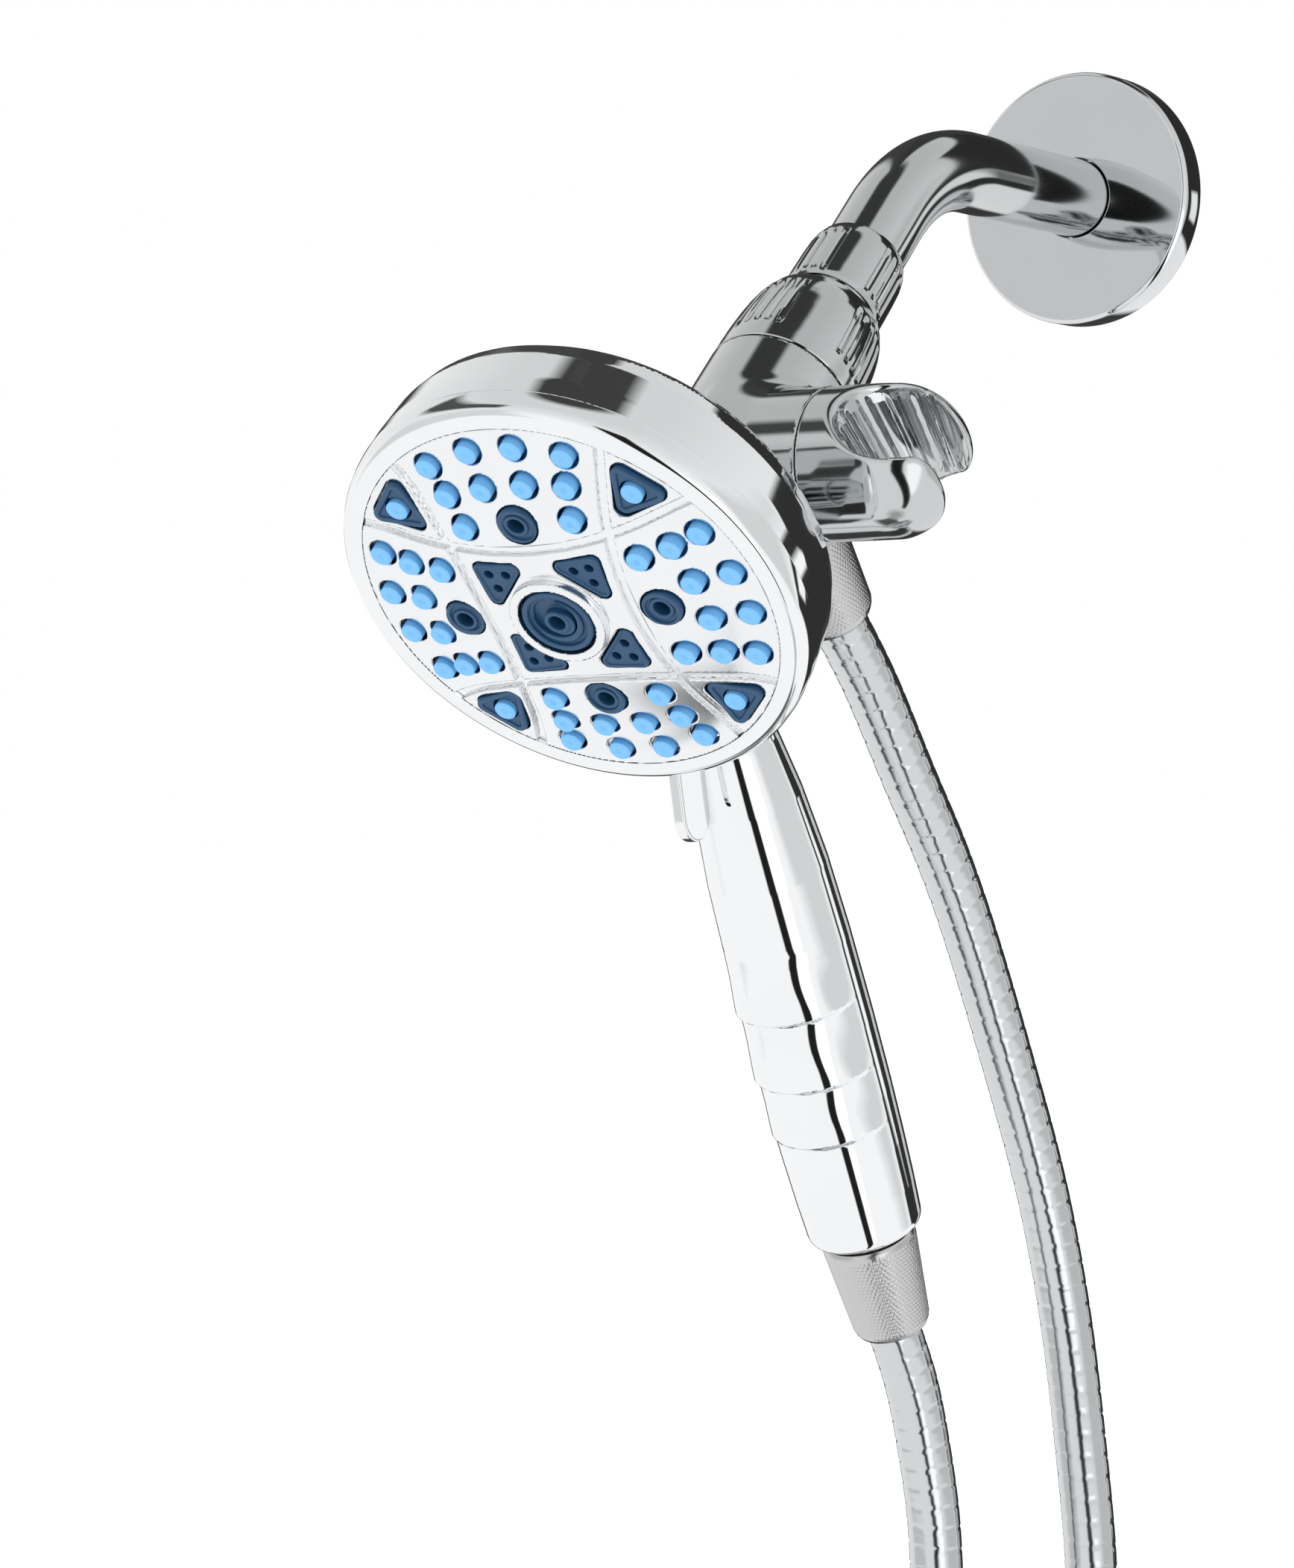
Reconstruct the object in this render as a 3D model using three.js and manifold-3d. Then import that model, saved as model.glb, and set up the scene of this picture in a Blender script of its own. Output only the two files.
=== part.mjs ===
// Handheld shower set: a wall arm with a ball-jointed bracket, a side cradle, a round
// multi-jet handset and the metal hose that joins the bracket to the handset.
// Units are millimetres. The wall is the plane y = 0, the arm points to -Y and +Z is up.
// The origin is the centre of the flange's back, where the pipe enters the wall.

import * as THREE from 'three';
import { mergeVertices } from 'three/addons/utils/BufferGeometryUtils.js';
import Module from 'manifold-3d';

const wasm = await Module();
wasm.setup();

// ---------------------------------------------------------------- driving dimensions

const GAP = 0.32;
const DEG = Math.PI / 180;

const PIPE = { r: 10.65, bore: 8.0, straight: 66.7, bendR: 57.7, bend: 44.6, leg: 34 };
const FLANGE = { r: 34.6, depth: 8.8, skin: 1.8, rim: 3.4 };

// Heights below are along the lower leg, measured from the end of the arm's bend.
const BALL = { r: 16.2, at: 50, bore: 5, tilt: 10 };
const COLLAR = { r: 13.3, from: 16.5, to: 38.6 };
const NUT = { r: 19.0, from: 41.8, to: 69.4 };
const BODY = { r: 19.1, from: 69.75, to: 119 };
const BRANCH = { r: 18.7, at: 98.2, end: 29.4 };
const OUTLET = { r: 12.2, at: 88.7, face: 27.9, thread: 10.0, tip: 37.3 };

const CRADLE = { r: 18.6, dome: 46.3, channel: 50.4, top: 13.0, bottom: 9.8, reach: 19, mouth: 14.8, pin: 34.4 };

// The hose coupling, measured from the nut's upper face.
const COUPLER = { r: 12.5, rEnd: 10.3, length: 29, bore: 10.35, neck: 7.9, shoulder: 14.2 };
const HOSE = { r: 7.1, sides: 8, entry: 60 };
const COIL = { r: 75, z: -495, near: -20.5, pitch: 14.6, turns: 2.82 };
const TIE = { width: 9, thick: 1.6 };

// Handset: x right, y towards the top of the head, z out of the spray face.
const HEAD = { at: [-9.2, -232.6, -119.8], r: 58.4, seam: -6.3, back: -38, wall: 2.6 };
const FACE = { r: 52.2, crown: 5.6, drop: 0.00279, thick: 3.0 };
const NOZZLE = { r: 2.8, tip: 2.4, hole: 3.75, rise: 1.6 };
const HANDLE = { r: 16.4, length: 150, lean: 17.1, end: [0, -210, 9.5], neck: 12.0 };
const LEVER = { thick: 3.2, lean: 33, width: 13, reach: 76, swing: 14 };

// ---------------------------------------------------------------- materials

const finish = (color, metalness, roughness) => new THREE.MeshStandardMaterial({ color, metalness, roughness });
const CHROME = finish(0xd8dadc, 1.0, 0.12);
const BRUSHED = finish(0x9a9ea2, 1.0, 0.35);
const BRASS = finish(0xb89a5a, 1.0, 0.3);
const SILICONE = finish(0x6fb4e6, 0.0, 0.5);
const BLUE = finish(0x1f4a70, 0.0, 0.35);
const WHITE = finish(0xe6e8e8, 0.0, 0.5);
const RUBBER = finish(0x1a1a1a, 0.0, 0.85);

// ---------------------------------------------------------------- solids and booleans

// A closed three.js geometry as a manifold solid.
function solid(geometry) {
  const bare = geometry.clone();
  bare.deleteAttribute('normal');
  bare.deleteAttribute('uv');
  const merged = mergeVertices(bare, 1e-4);
  const vertProperties = new Float32Array(merged.attributes.position.array);
  const triVerts = new Uint32Array(merged.index.array);
  return new wasm.Manifold(new wasm.Mesh({ numProp: 3, vertProperties, triVerts }));
}

// A manifold solid as a three.js geometry.
function toGeometry(manifold) {
  const mesh = manifold.getMesh();
  const geometry = new THREE.BufferGeometry();
  geometry.setAttribute('position', new THREE.BufferAttribute(new Float32Array(mesh.vertProperties), 3));
  geometry.setIndex(new THREE.BufferAttribute(new Uint32Array(mesh.triVerts), 1));
  geometry.computeVertexNormals();
  return geometry;
}

function cut(body, ...tools) {
  return tools.reduce((left, tool) => left.subtract(tool), body);
}

function join(body, ...more) {
  return more.reduce((whole, piece) => whole.add(piece), body);
}

function piece(name, material, shape) {
  const mesh = new THREE.Mesh(shape.isBufferGeometry ? shape : toGeometry(shape), material);
  mesh.name = name;
  return mesh;
}

// A turned shape about +Z from [radius, height] points.
function turned(profile, segments = 32) {
  const points = profile.map(([r, z]) => new THREE.Vector2(r, z));
  const geometry = new THREE.LatheGeometry(points, segments);
  geometry.rotateX(Math.PI / 2);
  return upright(geometry);
}

// Turns a lathe's faces outwards whichever way its profile was listed.
function upright(geometry) {
  if (signedVolume(geometry) >= 0) return geometry;
  const index = geometry.index.array;
  for (let i = 0; i < index.length; i += 3) {
    [index[i], index[i + 1]] = [index[i + 1], index[i]];
  }
  geometry.computeVertexNormals();
  return geometry;
}

function signedVolume(geometry) {
  const corner = [new THREE.Vector3(), new THREE.Vector3(), new THREE.Vector3()];
  const position = geometry.attributes.position;
  const index = geometry.index.array;
  let total = 0;
  for (let i = 0; i < index.length; i += 3) {
    corner.forEach((v, k) => v.fromBufferAttribute(position, index[i + k]));
    total += corner[0].dot(corner[1].clone().cross(corner[2])) / 6;
  }
  return total;
}

// A ring profile closes on itself.
function ring(profile, segments = 32) {
  return turned([...profile, profile[0]], segments);
}

// A plain round bar between two heights on the Z axis.
function bar(r, low, high, segments = 24) {
  return turned([[0, low], [r, low], [r, high], [0, high]], segments);
}

function tube(outer, inner, low, high, segments = 24) {
  return ring([[inner, low], [outer, low], [outer, high], [inner, high]], segments);
}

function box(x0, x1, y0, y1, z0, z1) {
  const geometry = new THREE.BoxGeometry(x1 - x0, y1 - y0, z1 - z0);
  geometry.translate((x0 + x1) / 2, (y0 + y1) / 2, (z0 + z1) / 2);
  return geometry;
}

// An outline in the XY plane, thickened along Z.
function slab(shape, low, high, curveSegments = 6) {
  const geometry = new THREE.ExtrudeGeometry(shape, { depth: high - low, bevelEnabled: false, curveSegments });
  geometry.translate(0, 0, low);
  return geometry;
}

// A corner-rounded outline through the given corners.
function rounded(corners, radius) {
  const shape = new THREE.Shape();
  corners.forEach((corner, i) => {
    const here = new THREE.Vector2(...corner);
    const before = new THREE.Vector2(...corners[(i + corners.length - 1) % corners.length]);
    const after = new THREE.Vector2(...corners[(i + 1) % corners.length]);
    const enter = here.clone().add(before.sub(here).setLength(radius));
    const leave = here.clone().add(after.sub(here).setLength(radius));
    if (i === 0) shape.moveTo(enter.x, enter.y);
    else shape.lineTo(enter.x, enter.y);
    shape.quadraticCurveTo(here.x, here.y, leave.x, leave.y);
  });
  shape.closePath();
  return shape;
}

function roundShape(r, sides) {
  const shape = new THREE.Shape();
  for (let i = 0; i < sides; i += 1) {
    const a = (i / sides) * 2 * Math.PI;
    if (i === 0) shape.moveTo(r, 0);
    else shape.lineTo(r * Math.cos(a), r * Math.sin(a));
  }
  shape.closePath();
  return shape;
}

// A shape swept along a curve.
function sweep(shape, curve, steps) {
  return new THREE.ExtrudeGeometry(shape, { extrudePath: curve, steps, bevelEnabled: false });
}

// ---------------------------------------------------------------- wall flange and arm

function wallFlange() {
  const { r, depth, skin, rim } = FLANGE;
  const bore = PIPE.r + GAP;
  return ring([
    [bore, -depth], [r - 1.0, -depth], [r, -depth + 0.8], [r, 0], [r - rim, 0],
    [r - rim - 0.6, -depth + skin], [bore + 2.2, -depth + skin], [bore + 2.2, -2.0], [bore, -2.0],
  ], 40).rotateX(-Math.PI / 2);
}

// A point of the pipe's centreline along its one bend.
function bendPoint(angle) {
  const y = -PIPE.straight - PIPE.bendR * Math.sin(angle);
  const z = -PIPE.bendR * (1 - Math.cos(angle));
  return new THREE.Vector3(0, y, z);
}

const LEG_END = bendPoint(PIPE.bend * DEG);

class BendCurve extends THREE.Curve {
  getPoint(t, target = new THREE.Vector3()) {
    return target.copy(bendPoint(t * PIPE.bend * DEG));
  }
}

// Quarter-turn tool: a bar along Z moved onto the arm's straight or leg.
function alongLeg(geometry) {
  geometry.rotateX((90 + PIPE.bend) * DEG);
  geometry.translate(LEG_END.x, LEG_END.y, LEG_END.z);
  return geometry;
}

function alongStraight(geometry) {
  geometry.rotateX(Math.PI / 2);
  return geometry;
}

function showerArm() {
  const overlap = 0.4;
  const outer = join(
    solid(alongStraight(bar(PIPE.r, -14, PIPE.straight + overlap, 24))),
    solid(sweep(roundShape(PIPE.r, 24), new BendCurve(), 8)),
    solid(alongLeg(bar(PIPE.r, -overlap, PIPE.leg, 24))),
  );
  const inner = join(
    solid(alongStraight(bar(PIPE.bore, -20, PIPE.straight + overlap, 10))),
    solid(sweep(roundShape(PIPE.bore, 10), new BendCurve(), 5)),
    solid(alongLeg(bar(PIPE.bore, -overlap, PIPE.leg + 5, 10))),
  );
  return cut(outer, inner);
}

// ---------------------------------------------------------------- ball joint

// Points on the ball, seen in profile, between two heights.
function ballArc(r, from, to, steps) {
  const points = [];
  for (let i = 0; i <= steps; i += 1) {
    const a = Math.acos((from - BALL.at) / r) * (1 - i / steps) + Math.acos((to - BALL.at) / r) * (i / steps);
    points.push([r * Math.sin(a), BALL.at + r * Math.cos(a)]);
  }
  return points;
}

// Shallow grip flutes: two groups that face each other across the axis.
function gripFlutes(r, low, high, depth, pitch, count) {
  const flutes = [];
  for (const side of [2, 92, 182, 272]) {
    for (let i = 0; i < count; i += 1) {
      const a = (side + (i - (count - 1) / 2) * pitch) * DEG;
      const flute = box(-0.9, 0.9, -depth, depth, low, high);
      flute.rotateZ(a - Math.PI / 2);
      flute.translate(r * Math.cos(a), r * Math.sin(a), 0);
      flutes.push(solid(flute));
    }
  }
  return flutes;
}

function ballAdapter() {
  const { r, from, to } = COLLAR;
  const top = BALL.at - Math.sqrt(BALL.r ** 2 - 12.2 ** 2);
  const bottom = BALL.at + Math.sqrt(BALL.r ** 2 - BALL.bore ** 2);
  const shell = solid(ring([
    [PIPE.r + GAP, from], [11.9, from], [r - 0.3, from + 4], [r, to - 1.2], [r - 0.9, to], [12.2, top],
    ...ballArc(BALL.r, top, bottom, 6).slice(1), [BALL.bore, PIPE.leg + GAP], [PIPE.r + GAP, PIPE.leg + GAP],
  ], 24));
  return cut(shell, ...gripFlutes(r, from + 4.5, to - 2.5, 0.55, 14, 3));
}

function retainingNut() {
  const { r, from, to } = NUT;
  const inner = BALL.r + GAP;
  const lip = Math.sqrt(inner ** 2 - (BALL.at - from) ** 2);
  const shell = solid(ring([
    [lip, from], [lip + 0.9, from], [16.3, from + 1.6], [17.4, from + 4.6], [18.3, from + 9],
    [18.8, from + 15], [r, from + 21], [r, to], [17.3, to], [17.3, BALL.at + 4.5],
    ...ballArc(inner, BALL.at, from, 3).slice(0, -1),
  ], 24));
  return cut(shell, ...gripFlutes(18.7, from + 5, to - 7.5, 0.8, 11.5, 4));
}

function ballSeat() {
  const inner = BALL.r + GAP;
  const low = BALL.at + 7;
  const high = BALL.at + 14.4;
  return ring([[16.9, low], [16.9, high], ...ballArc(inner, high, low, 2)], 24);
}

function ballSeal() {
  return tube(12.6, 8.6, BALL.at + 14.75, BALL.at + 16.6, 14);
}

// ---------------------------------------------------------------- bracket body

function bracketBody() {
  const { r, from, to } = BODY;
  const spigot = BALL.at + 16.95;
  const trunk = solid(turned([
    [0, spigot], [16.9, spigot], [16.9, from], [r, from], [r, to - 9], [r - 1.2, to - 5],
    [r - 4, to - 2], [r - 9, to - 0.4], [0, to],
  ], 32));
  const branch = solid(bar(BRANCH.r, 0, BRANCH.end, 32).rotateY(Math.PI / 2).translate(0, 0, BRANCH.at));
  const outlet = solid(turned([
    [0, 0], [OUTLET.r, 0], [OUTLET.r, OUTLET.face], [OUTLET.thread, OUTLET.face],
    [OUTLET.thread, OUTLET.tip], [0, OUTLET.tip],
  ], 20).rotateX(Math.PI / 2).translate(0, 0, OUTLET.at));
  const inlet = solid(bar(8.6, spigot - 1, OUTLET.at + 7, 12));
  const chamber = solid(bar(12.5, spigot + 6, OUTLET.at + 8, 12));
  const waterway = solid(bar(6, 0, OUTLET.tip + 1, 10).rotateX(Math.PI / 2).translate(0, 0, OUTLET.at));
  const pivot = solid(bar(3.1, 12, BRANCH.end + 1, 10).rotateY(Math.PI / 2).translate(0, 0, BRANCH.at));
  const pocket = solid(bar(9.4, BRANCH.end - 2, BRANCH.end + 1, 14).rotateY(Math.PI / 2).translate(0, 0, BRANCH.at));
  return cut(join(trunk, branch, outlet), inlet, chamber, waterway, pivot, pocket);
}

// ---------------------------------------------------------------- cradle

// Built about the branch's axis: x along the branch, y up the channel. A round-ended
// barrel carries on from the branch, with a ribbed channel across it that opens to its end.
function cradle() {
  const { r, dome, channel: x, top, bottom, reach, mouth, pin } = CRADLE;
  const start = BRANCH.end + GAP;
  const cap = [15, 30, 45, 60, 75].map((a) => [r * Math.cos(a * DEG), dome + r * Math.sin(a * DEG)]);
  const barrel = solid(turned([[0, start], [r, start], [r, dome], ...cap, [0, dome + r]], 28).rotateY(Math.PI / 2));
  const bore = solid(turned([[0, -reach], [bottom, -reach], [top, reach], [0, reach]], 26)
    .rotateX(-Math.PI / 2).translate(x, 0, 0));
  const slot = solid(box(x, dome + r + 1, -reach, reach, -mouth / 2, mouth / 2));
  const ribs = [];
  for (let a = 72; a <= 288; a += 24) {
    const rib = bar(0.8, -12, 12, 4).rotateX(-Math.PI / 2);
    rib.rotateX(Math.atan2(top - bottom, 2 * reach));
    rib.translate(0, 0, (top + bottom) / 2 + 0.1).rotateY((a + 90) * DEG).translate(x, 0, 0);
    ribs.push(solid(rib));
  }
  const hole = solid(bar(3.1, BRANCH.end, pin + GAP, 10).rotateY(Math.PI / 2));
  return cut(barrel, bore, slot, hole, ...ribs);
}

function cradleScrew() {
  const end = CRADLE.pin;
  return turned([[0, 13], [2.2, 13], [2.75, 13.6], [2.75, end - 0.6], [2.2, end], [0, end]], 10).rotateY(Math.PI / 2);
}

function cradleWasher() {
  return tube(9.0, 3.2, BRANCH.end - 1.7, BRANCH.end, 14).rotateY(Math.PI / 2);
}

// ---------------------------------------------------------------- hose coupling

// All of these point down the hose along +Z from the nut's upper face.
function couplerNut() {
  const { r, rEnd, length, bore, neck, shoulder } = COUPLER;
  return ring([
    [bore, 0], [r - 0.5, 0], [r, 0.6], [r, 2.2], [rEnd, length - 2.6], [rEnd - 0.9, length - 0.3], [neck + 0.3, length],
    [neck, length - 0.4], [neck, shoulder], [bore, shoulder],
  ], 20);
}

function couplerWasher() {
  return tube(9.7, 6.2, 9.4, 11.4, 12);
}

function couplerFerrule() {
  const { shoulder, length } = COUPLER;
  return ring([
    [5.0, 11.75], [9.9, 11.75], [9.9, shoulder - GAP], [7.45, shoulder - GAP], [7.45, length], [5.0, length],
  ], 12);
}

// ---------------------------------------------------------------- spray face

const faceHeight = (r) => Math.max(FACE.crown - FACE.drop * r * r, -0.4);

// A domed disc that follows the face, between two depths below its surface.
function domed(r, upper, lower, segments) {
  const radii = [0, 0.6, 1].map((k) => k * r);
  const front = radii.map((q) => [q, faceHeight(q) - upper]);
  const back = radii.map((q) => [q, faceHeight(q) - lower]).reverse();
  return turned([...front, ...back], segments);
}

// One quarter of the jet pattern, then turned four times.
const JETS = [[-18.4, 43.3], [-6.1, 46.6], [6.1, 46.6], [18.4, 43.3], [-16.2, 35.6], [-5.6, 37], [5.6, 37],
  [16.2, 35.6], [-14.6, 27], [14.6, 27], [32, 32]];

function fourTimes(make) {
  return [0, 90, 180, 270].flatMap((turn) => make(turn * DEG));
}

function turnPoint([x, y], a) {
  return [x * Math.cos(a) - y * Math.sin(a), x * Math.sin(a) + y * Math.cos(a)];
}

const JET_POINTS = fourTimes((a) => JETS.map((p) => turnPoint(p, a)));

// Each soft jet stands on the mat behind the face and ends just proud of it.
function jetBars() {
  const { r, tip, rise } = NOZZLE;
  return JET_POINTS.map(([x, y]) => {
    const end = faceHeight(Math.hypot(x, y)) + rise;
    return solid(turned([[0, -7], [r, -7], [tip, end], [0, end]], 6).translate(x, y, 0));
  });
}

function jetHoles(r, lower, upper) {
  return JET_POINTS.map(([x, y]) => {
    const z = faceHeight(Math.hypot(x, y));
    return solid(bar(r, z - lower, z + upper, 6).translate(x, y, 0));
  });
}

const CORNER = [[25.8, 25.8], [29.8, 40.4], [40.4, 29.8]];
const INNER = [[17.2, 17.2], [4.2, 15.6], [15.6, 4.2]];
const MIST = [0, 27];

// The corner and inner triangles and the round mist jets, grown by a margin and sunk by
// three depths below the face.
function insertShapes(margin, [cornerLower, innerLower, mistLower], upper) {
  const grow = (corners) => {
    const cx = corners.reduce((sum, c) => sum + c[0], 0) / 3;
    const cy = corners.reduce((sum, c) => sum + c[1], 0) / 3;
    return corners.map(([x, y]) => {
      const d = Math.hypot(x - cx, y - cy);
      return [x + ((x - cx) * margin * 1.9) / d, y + ((y - cy) * margin * 1.9) / d];
    });
  };
  return fourTimes((a) => {
    const kinds = [[CORNER, 2.6, cornerLower], [INNER, 2.2, innerLower]];
    const tools = kinds.map(([corners, radius, lower]) => {
      const points = grow(corners).map((p) => turnPoint(p, a));
      const z = faceHeight(Math.hypot((corners[0][0] + corners[1][0]) / 2, (corners[0][1] + corners[1][1]) / 2));
      return solid(slab(rounded(points, radius), z - lower, z + upper, 1));
    });
    const [x, y] = turnPoint(MIST, a);
    const z = faceHeight(27);
    return [...tools, solid(bar(4.9 + margin, z - mistLower, z + upper, 12).translate(x, y, 0))];
  });
}

// Four shallow bowed channels that part the face into panels.
function faceGrooves() {
  const bow = 128;
  return fourTimes((a) => {
    const half = Math.asin(50 / bow);
    const arc = new THREE.EllipseCurve(0, 20 + bow, bow, bow, -Math.PI / 2 - half, -Math.PI / 2 + half);
    const points = arc.getPoints(4);
    const shape = new THREE.Shape();
    points.forEach((p, i) => (i ? shape.lineTo(p.x, p.y - 1.1) : shape.moveTo(p.x, p.y - 1.1)));
    points.reverse().forEach((p) => shape.lineTo(p.x, p.y + 1.1));
    shape.closePath();
    const strip = slab(shape, faceHeight(30) - 1.0, faceHeight(0) + 5).rotateZ(a);
    return [solid(strip)];
  });
}

function facePlate() {
  const plate = solid(domed(FACE.r, 0, FACE.thick, 28));
  const boss = solid(ring([[8, 4.0], [12.1, 4.0], [12.1, 6.7], [11.2, 7.4], [8, 7.4]], 20));
  const centre = solid(bar(9.4, -2, 12, 20));
  const windows = insertShapes(0.4, [5, 5, 5], 5);
  return cut(join(plate, boss), centre, ...jetHoles(NOZZLE.hole, 5, 5), ...windows, ...faceGrooves());
}

// A four-armed carrier behind the face holds the dark inserts between the soft jets.
function carrierShape() {
  const quarter = [[-6.5, 22.5], [-6.5, 31], [-3.5, 33], [3.5, 33], [6.5, 31], [6.5, 22.5], [13.4, 20.5],
    [23.3, 30.4], [28, 43], [43, 28], [30.4, 23.3], [20.5, 13.4]];
  const shape = new THREE.Shape();
  const corners = [0, -90, -180, -270].flatMap((turn) => quarter.map((p) => turnPoint(p, turn * DEG)));
  corners.forEach(([x, y], i) => (i ? shape.lineTo(x, y) : shape.moveTo(x, y)));
  shape.closePath();
  return shape;
}

function jetInsert() {
  const disc = solid(bar(49.5, -6.1, -4.6, 28));
  const carrier = disc.intersect(solid(slab(carrierShape(), -12, 12)));
  const raised = join(carrier, ...insertShapes(0, [5.6, 9.9, 9.0], 0.3));
  const bores = fourTimes((a) => {
    const [x, y] = turnPoint(MIST, a);
    const [u, v] = turnPoint(JETS[JETS.length - 1], a);
    return [solid(bar(2.6, -8, 12, 8).translate(x, y, 0)), solid(bar(NOZZLE.hole, -8, 12, 6).translate(u, v, 0))];
  });
  const centre = solid(bar(9.7, -8, 12, 16));
  return cut(raised, centre, ...bores);
}

function nozzleMat() {
  const mat = solid(bar(49.5, -8.0, -6.45, 28));
  const centre = solid(bar(7.4, -9, 12, 14));
  return cut(join(mat, ...jetBars()), centre);
}

function centreJet() {
  return ring([
    [2.2, -8.6], [7.0, -8.6], [7.0, 1.0], [9.05, 1.0], [9.05, 6.0], [8.2, 6.6], [6.9, 4.4], [5.6, 4.4],
    [5.2, 6.4], [3.4, 6.4], [2.2, 5.0],
  ], 16);
}

function bezelRing() {
  const inner = FACE.r + GAP;
  return ring([
    [inner, HEAD.seam], [inner, -0.6], [54.2, -0.25], [55.8, -0.15], [57.2, -0.9], [58.1, -2.7],
    [HEAD.r, -4.6], [HEAD.r, HEAD.seam],
  ], 40);
}

// ---------------------------------------------------------------- handset shell

// Moves a shape built along the handle's axis, from its lower end, into the head's frame.
function onHandle(geometry) {
  geometry.rotateX(-(90 + HANDLE.lean) * DEG);
  geometry.translate(...HANDLE.end);
  return geometry;
}

function handleBar() {
  const { r, length, neck } = HANDLE;
  return onHandle(turned([
    [0, 0], [r - 1.6, 0], [r - 1.1, 0.7], [r - 0.4, 25], [r + 0.1, 60], [r + 0.1, 88], [r - 0.6, 106],
    [r - 2.4, 124], [neck - 0.3, 140], [neck - 0.6, length + 4], [neck - 1.8, length + 12],
    [neck - 5, length + 18], [0, length + 21],
  ], 24));
}

// A ring-shaped cutter set back from the axis, so that it bites the front only.
function fingerGroove(at, width, bite) {
  const half = width / 2;
  const hollow = (half * half) / (2 * bite);
  const reach = Math.asin((half + 1) / hollow);
  const profile = [];
  for (let i = 0; i <= 4; i += 1) {
    const a = -reach + (2 * reach * i) / 4;
    profile.push([HANDLE.r + hollow - hollow * Math.cos(a), at + hollow * Math.sin(a)]);
  }
  profile.push([HANDLE.r + 8, at + half + 1], [HANDLE.r + 8, at - half - 1]);
  return solid(onHandle(ring(profile, 24).translate(0, bite, 0)));
}

function handsetShell() {
  const { r, seam, back, wall } = HEAD;
  const top = seam - GAP;
  const dish = solid(turned([
    [0, top], [r, top], [r, -12], [57.4, -22], [56.2, -25.6], [53.4, -28.8], [48, -31.6], [38, -34.4],
    [22, -37], [0, back],
  ], 40));
  const hollow = solid(turned([
    [0, top + 2], [r - wall, top + 2], [r - wall, -12], [57.2 - wall, -21.5], [53.4 - wall, -26], [48 - wall, -28.8],
    [38, -31.6], [22, -34.2], [0, back + wall],
  ], 24));
  const grip = solid(handleBar());
  const bore = solid(onHandle(bar(9.2, 18, HANDLE.length - 6, 12)));
  const duct = solid(sweep(roundShape(5.1, 10), ELBOW, 9));
  const socket = solid(onHandle(bar(12.2, -1, 18.2, 20)));
  const grooves = [[79, 18.5], [61, 17.5], [44.5, 16]].map(([at, width]) => fingerGroove(at, width, 1.5));
  const swing = solid(box(-LEVER_SLOT, LEVER_SLOT, -62, -50, -18.4, -5));
  const window = solid(onHandle(box(3.6, 8.4, -20, -9.6, 130, 135.5)));
  return cut(join(dish, grip), hollow, bore, duct, socket, ...grooves, swing, window);
}

// The water way from the handle's top, through the head's back, to the middle of the head.
const ELBOW = new THREE.CatmullRomCurve3([
  [-74.2, -32.3], [-64, -35.2], [-54, -35.2], [-43, -29.5], [-30, -25.2], [-13, -24.4], [-3, -22.5], [0, -17.3],
].map(([y, z]) => new THREE.Vector3(0, y, z)));

const LEVER_SLOT = 58 * Math.sin(LEVER.swing * DEG) + LEVER.thick / 2 + 1.2;

// ---------------------------------------------------------------- handset insides

function flowPlate() {
  const plate = solid(bar(50, -11.4, -9.2, 24));
  const ports = fourTimes((a) => {
    const [x, y] = turnPoint([0, 26], a);
    return [solid(bar(3, -12, -8, 8).translate(x, y, 0))];
  });
  return cut(plate, ...ports, solid(bar(4, -12, -8, 12)));
}

function selectorDisc() {
  const plate = solid(bar(40, -14.6, -11.75, 24));
  const ports = [10, 100, 190, 280].map((turn) => {
    const [x, y] = turnPoint([0, 26], turn * DEG);
    return solid(bar(3.4, -15, -11, 8).translate(x, y, 0));
  });
  return cut(plate, ...ports, solid(bar(4, -15, -11, 12)));
}

// A flat tongue in the head's middle plane, drawn as [distance below centre, height].
function modeLever() {
  const { thick, lean, width, reach } = LEVER;
  const along = [Math.cos(lean * DEG), Math.sin(lean * DEG)];
  const across = [along[1], -along[0]];
  const front = [57.6, -7.6];
  const end = (reach - front[0]) / along[0] - width / 2;
  const shape = new THREE.Shape();
  shape.moveTo(30, -15.0);
  shape.lineTo(30, -17.6);
  shape.lineTo(52, -17.6);
  const root = [front[0] + across[0] * width, front[1] + across[1] * width];
  shape.lineTo(root[0] - 1.5, root[1]);
  const tipBack = [root[0] + along[0] * (end - width * 0.62), root[1] + along[1] * (end - width * 0.62)];
  shape.lineTo(...tipBack);
  const middle = [front[0] + across[0] * (width / 2) + along[0] * end, front[1] + across[1] * (width / 2) + along[1] * end];
  for (let i = 0; i <= 8; i += 1) {
    const a = (lean - 90 + i * 22.5) * DEG;
    shape.lineTo(middle[0] + (width / 2) * Math.cos(a), middle[1] + (width / 2) * Math.sin(a));
  }
  shape.lineTo(...front);
  shape.lineTo(54, -8.2);
  shape.lineTo(48, -15.0);
  shape.closePath();
  const plate = slab(shape, -thick / 2, thick / 2);
  const toHead = new THREE.Matrix4().set(0, 0, 1, 0, -1, 0, 0, 0, 0, 1, 0, 0, 0, 0, 0, 1);
  return upright(indexed(plate.applyMatrix4(toHead)));
}

function indexed(geometry) {
  geometry.deleteAttribute('normal');
  geometry.deleteAttribute('uv');
  return mergeVertices(geometry, 1e-4);
}

function inletGasket() {
  return tube(9, 5.5, -16.9, -14.95, 12);
}

function inletElbow() {
  return cut(solid(sweep(roundShape(4.6, 10), ELBOW, 9)), solid(sweep(roundShape(3.3, 8), ELBOW, 9)));
}

function waterTube() {
  return onHandle(tube(6.2, 4.9, 18.2, HANDLE.length - 9, 12));
}

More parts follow.
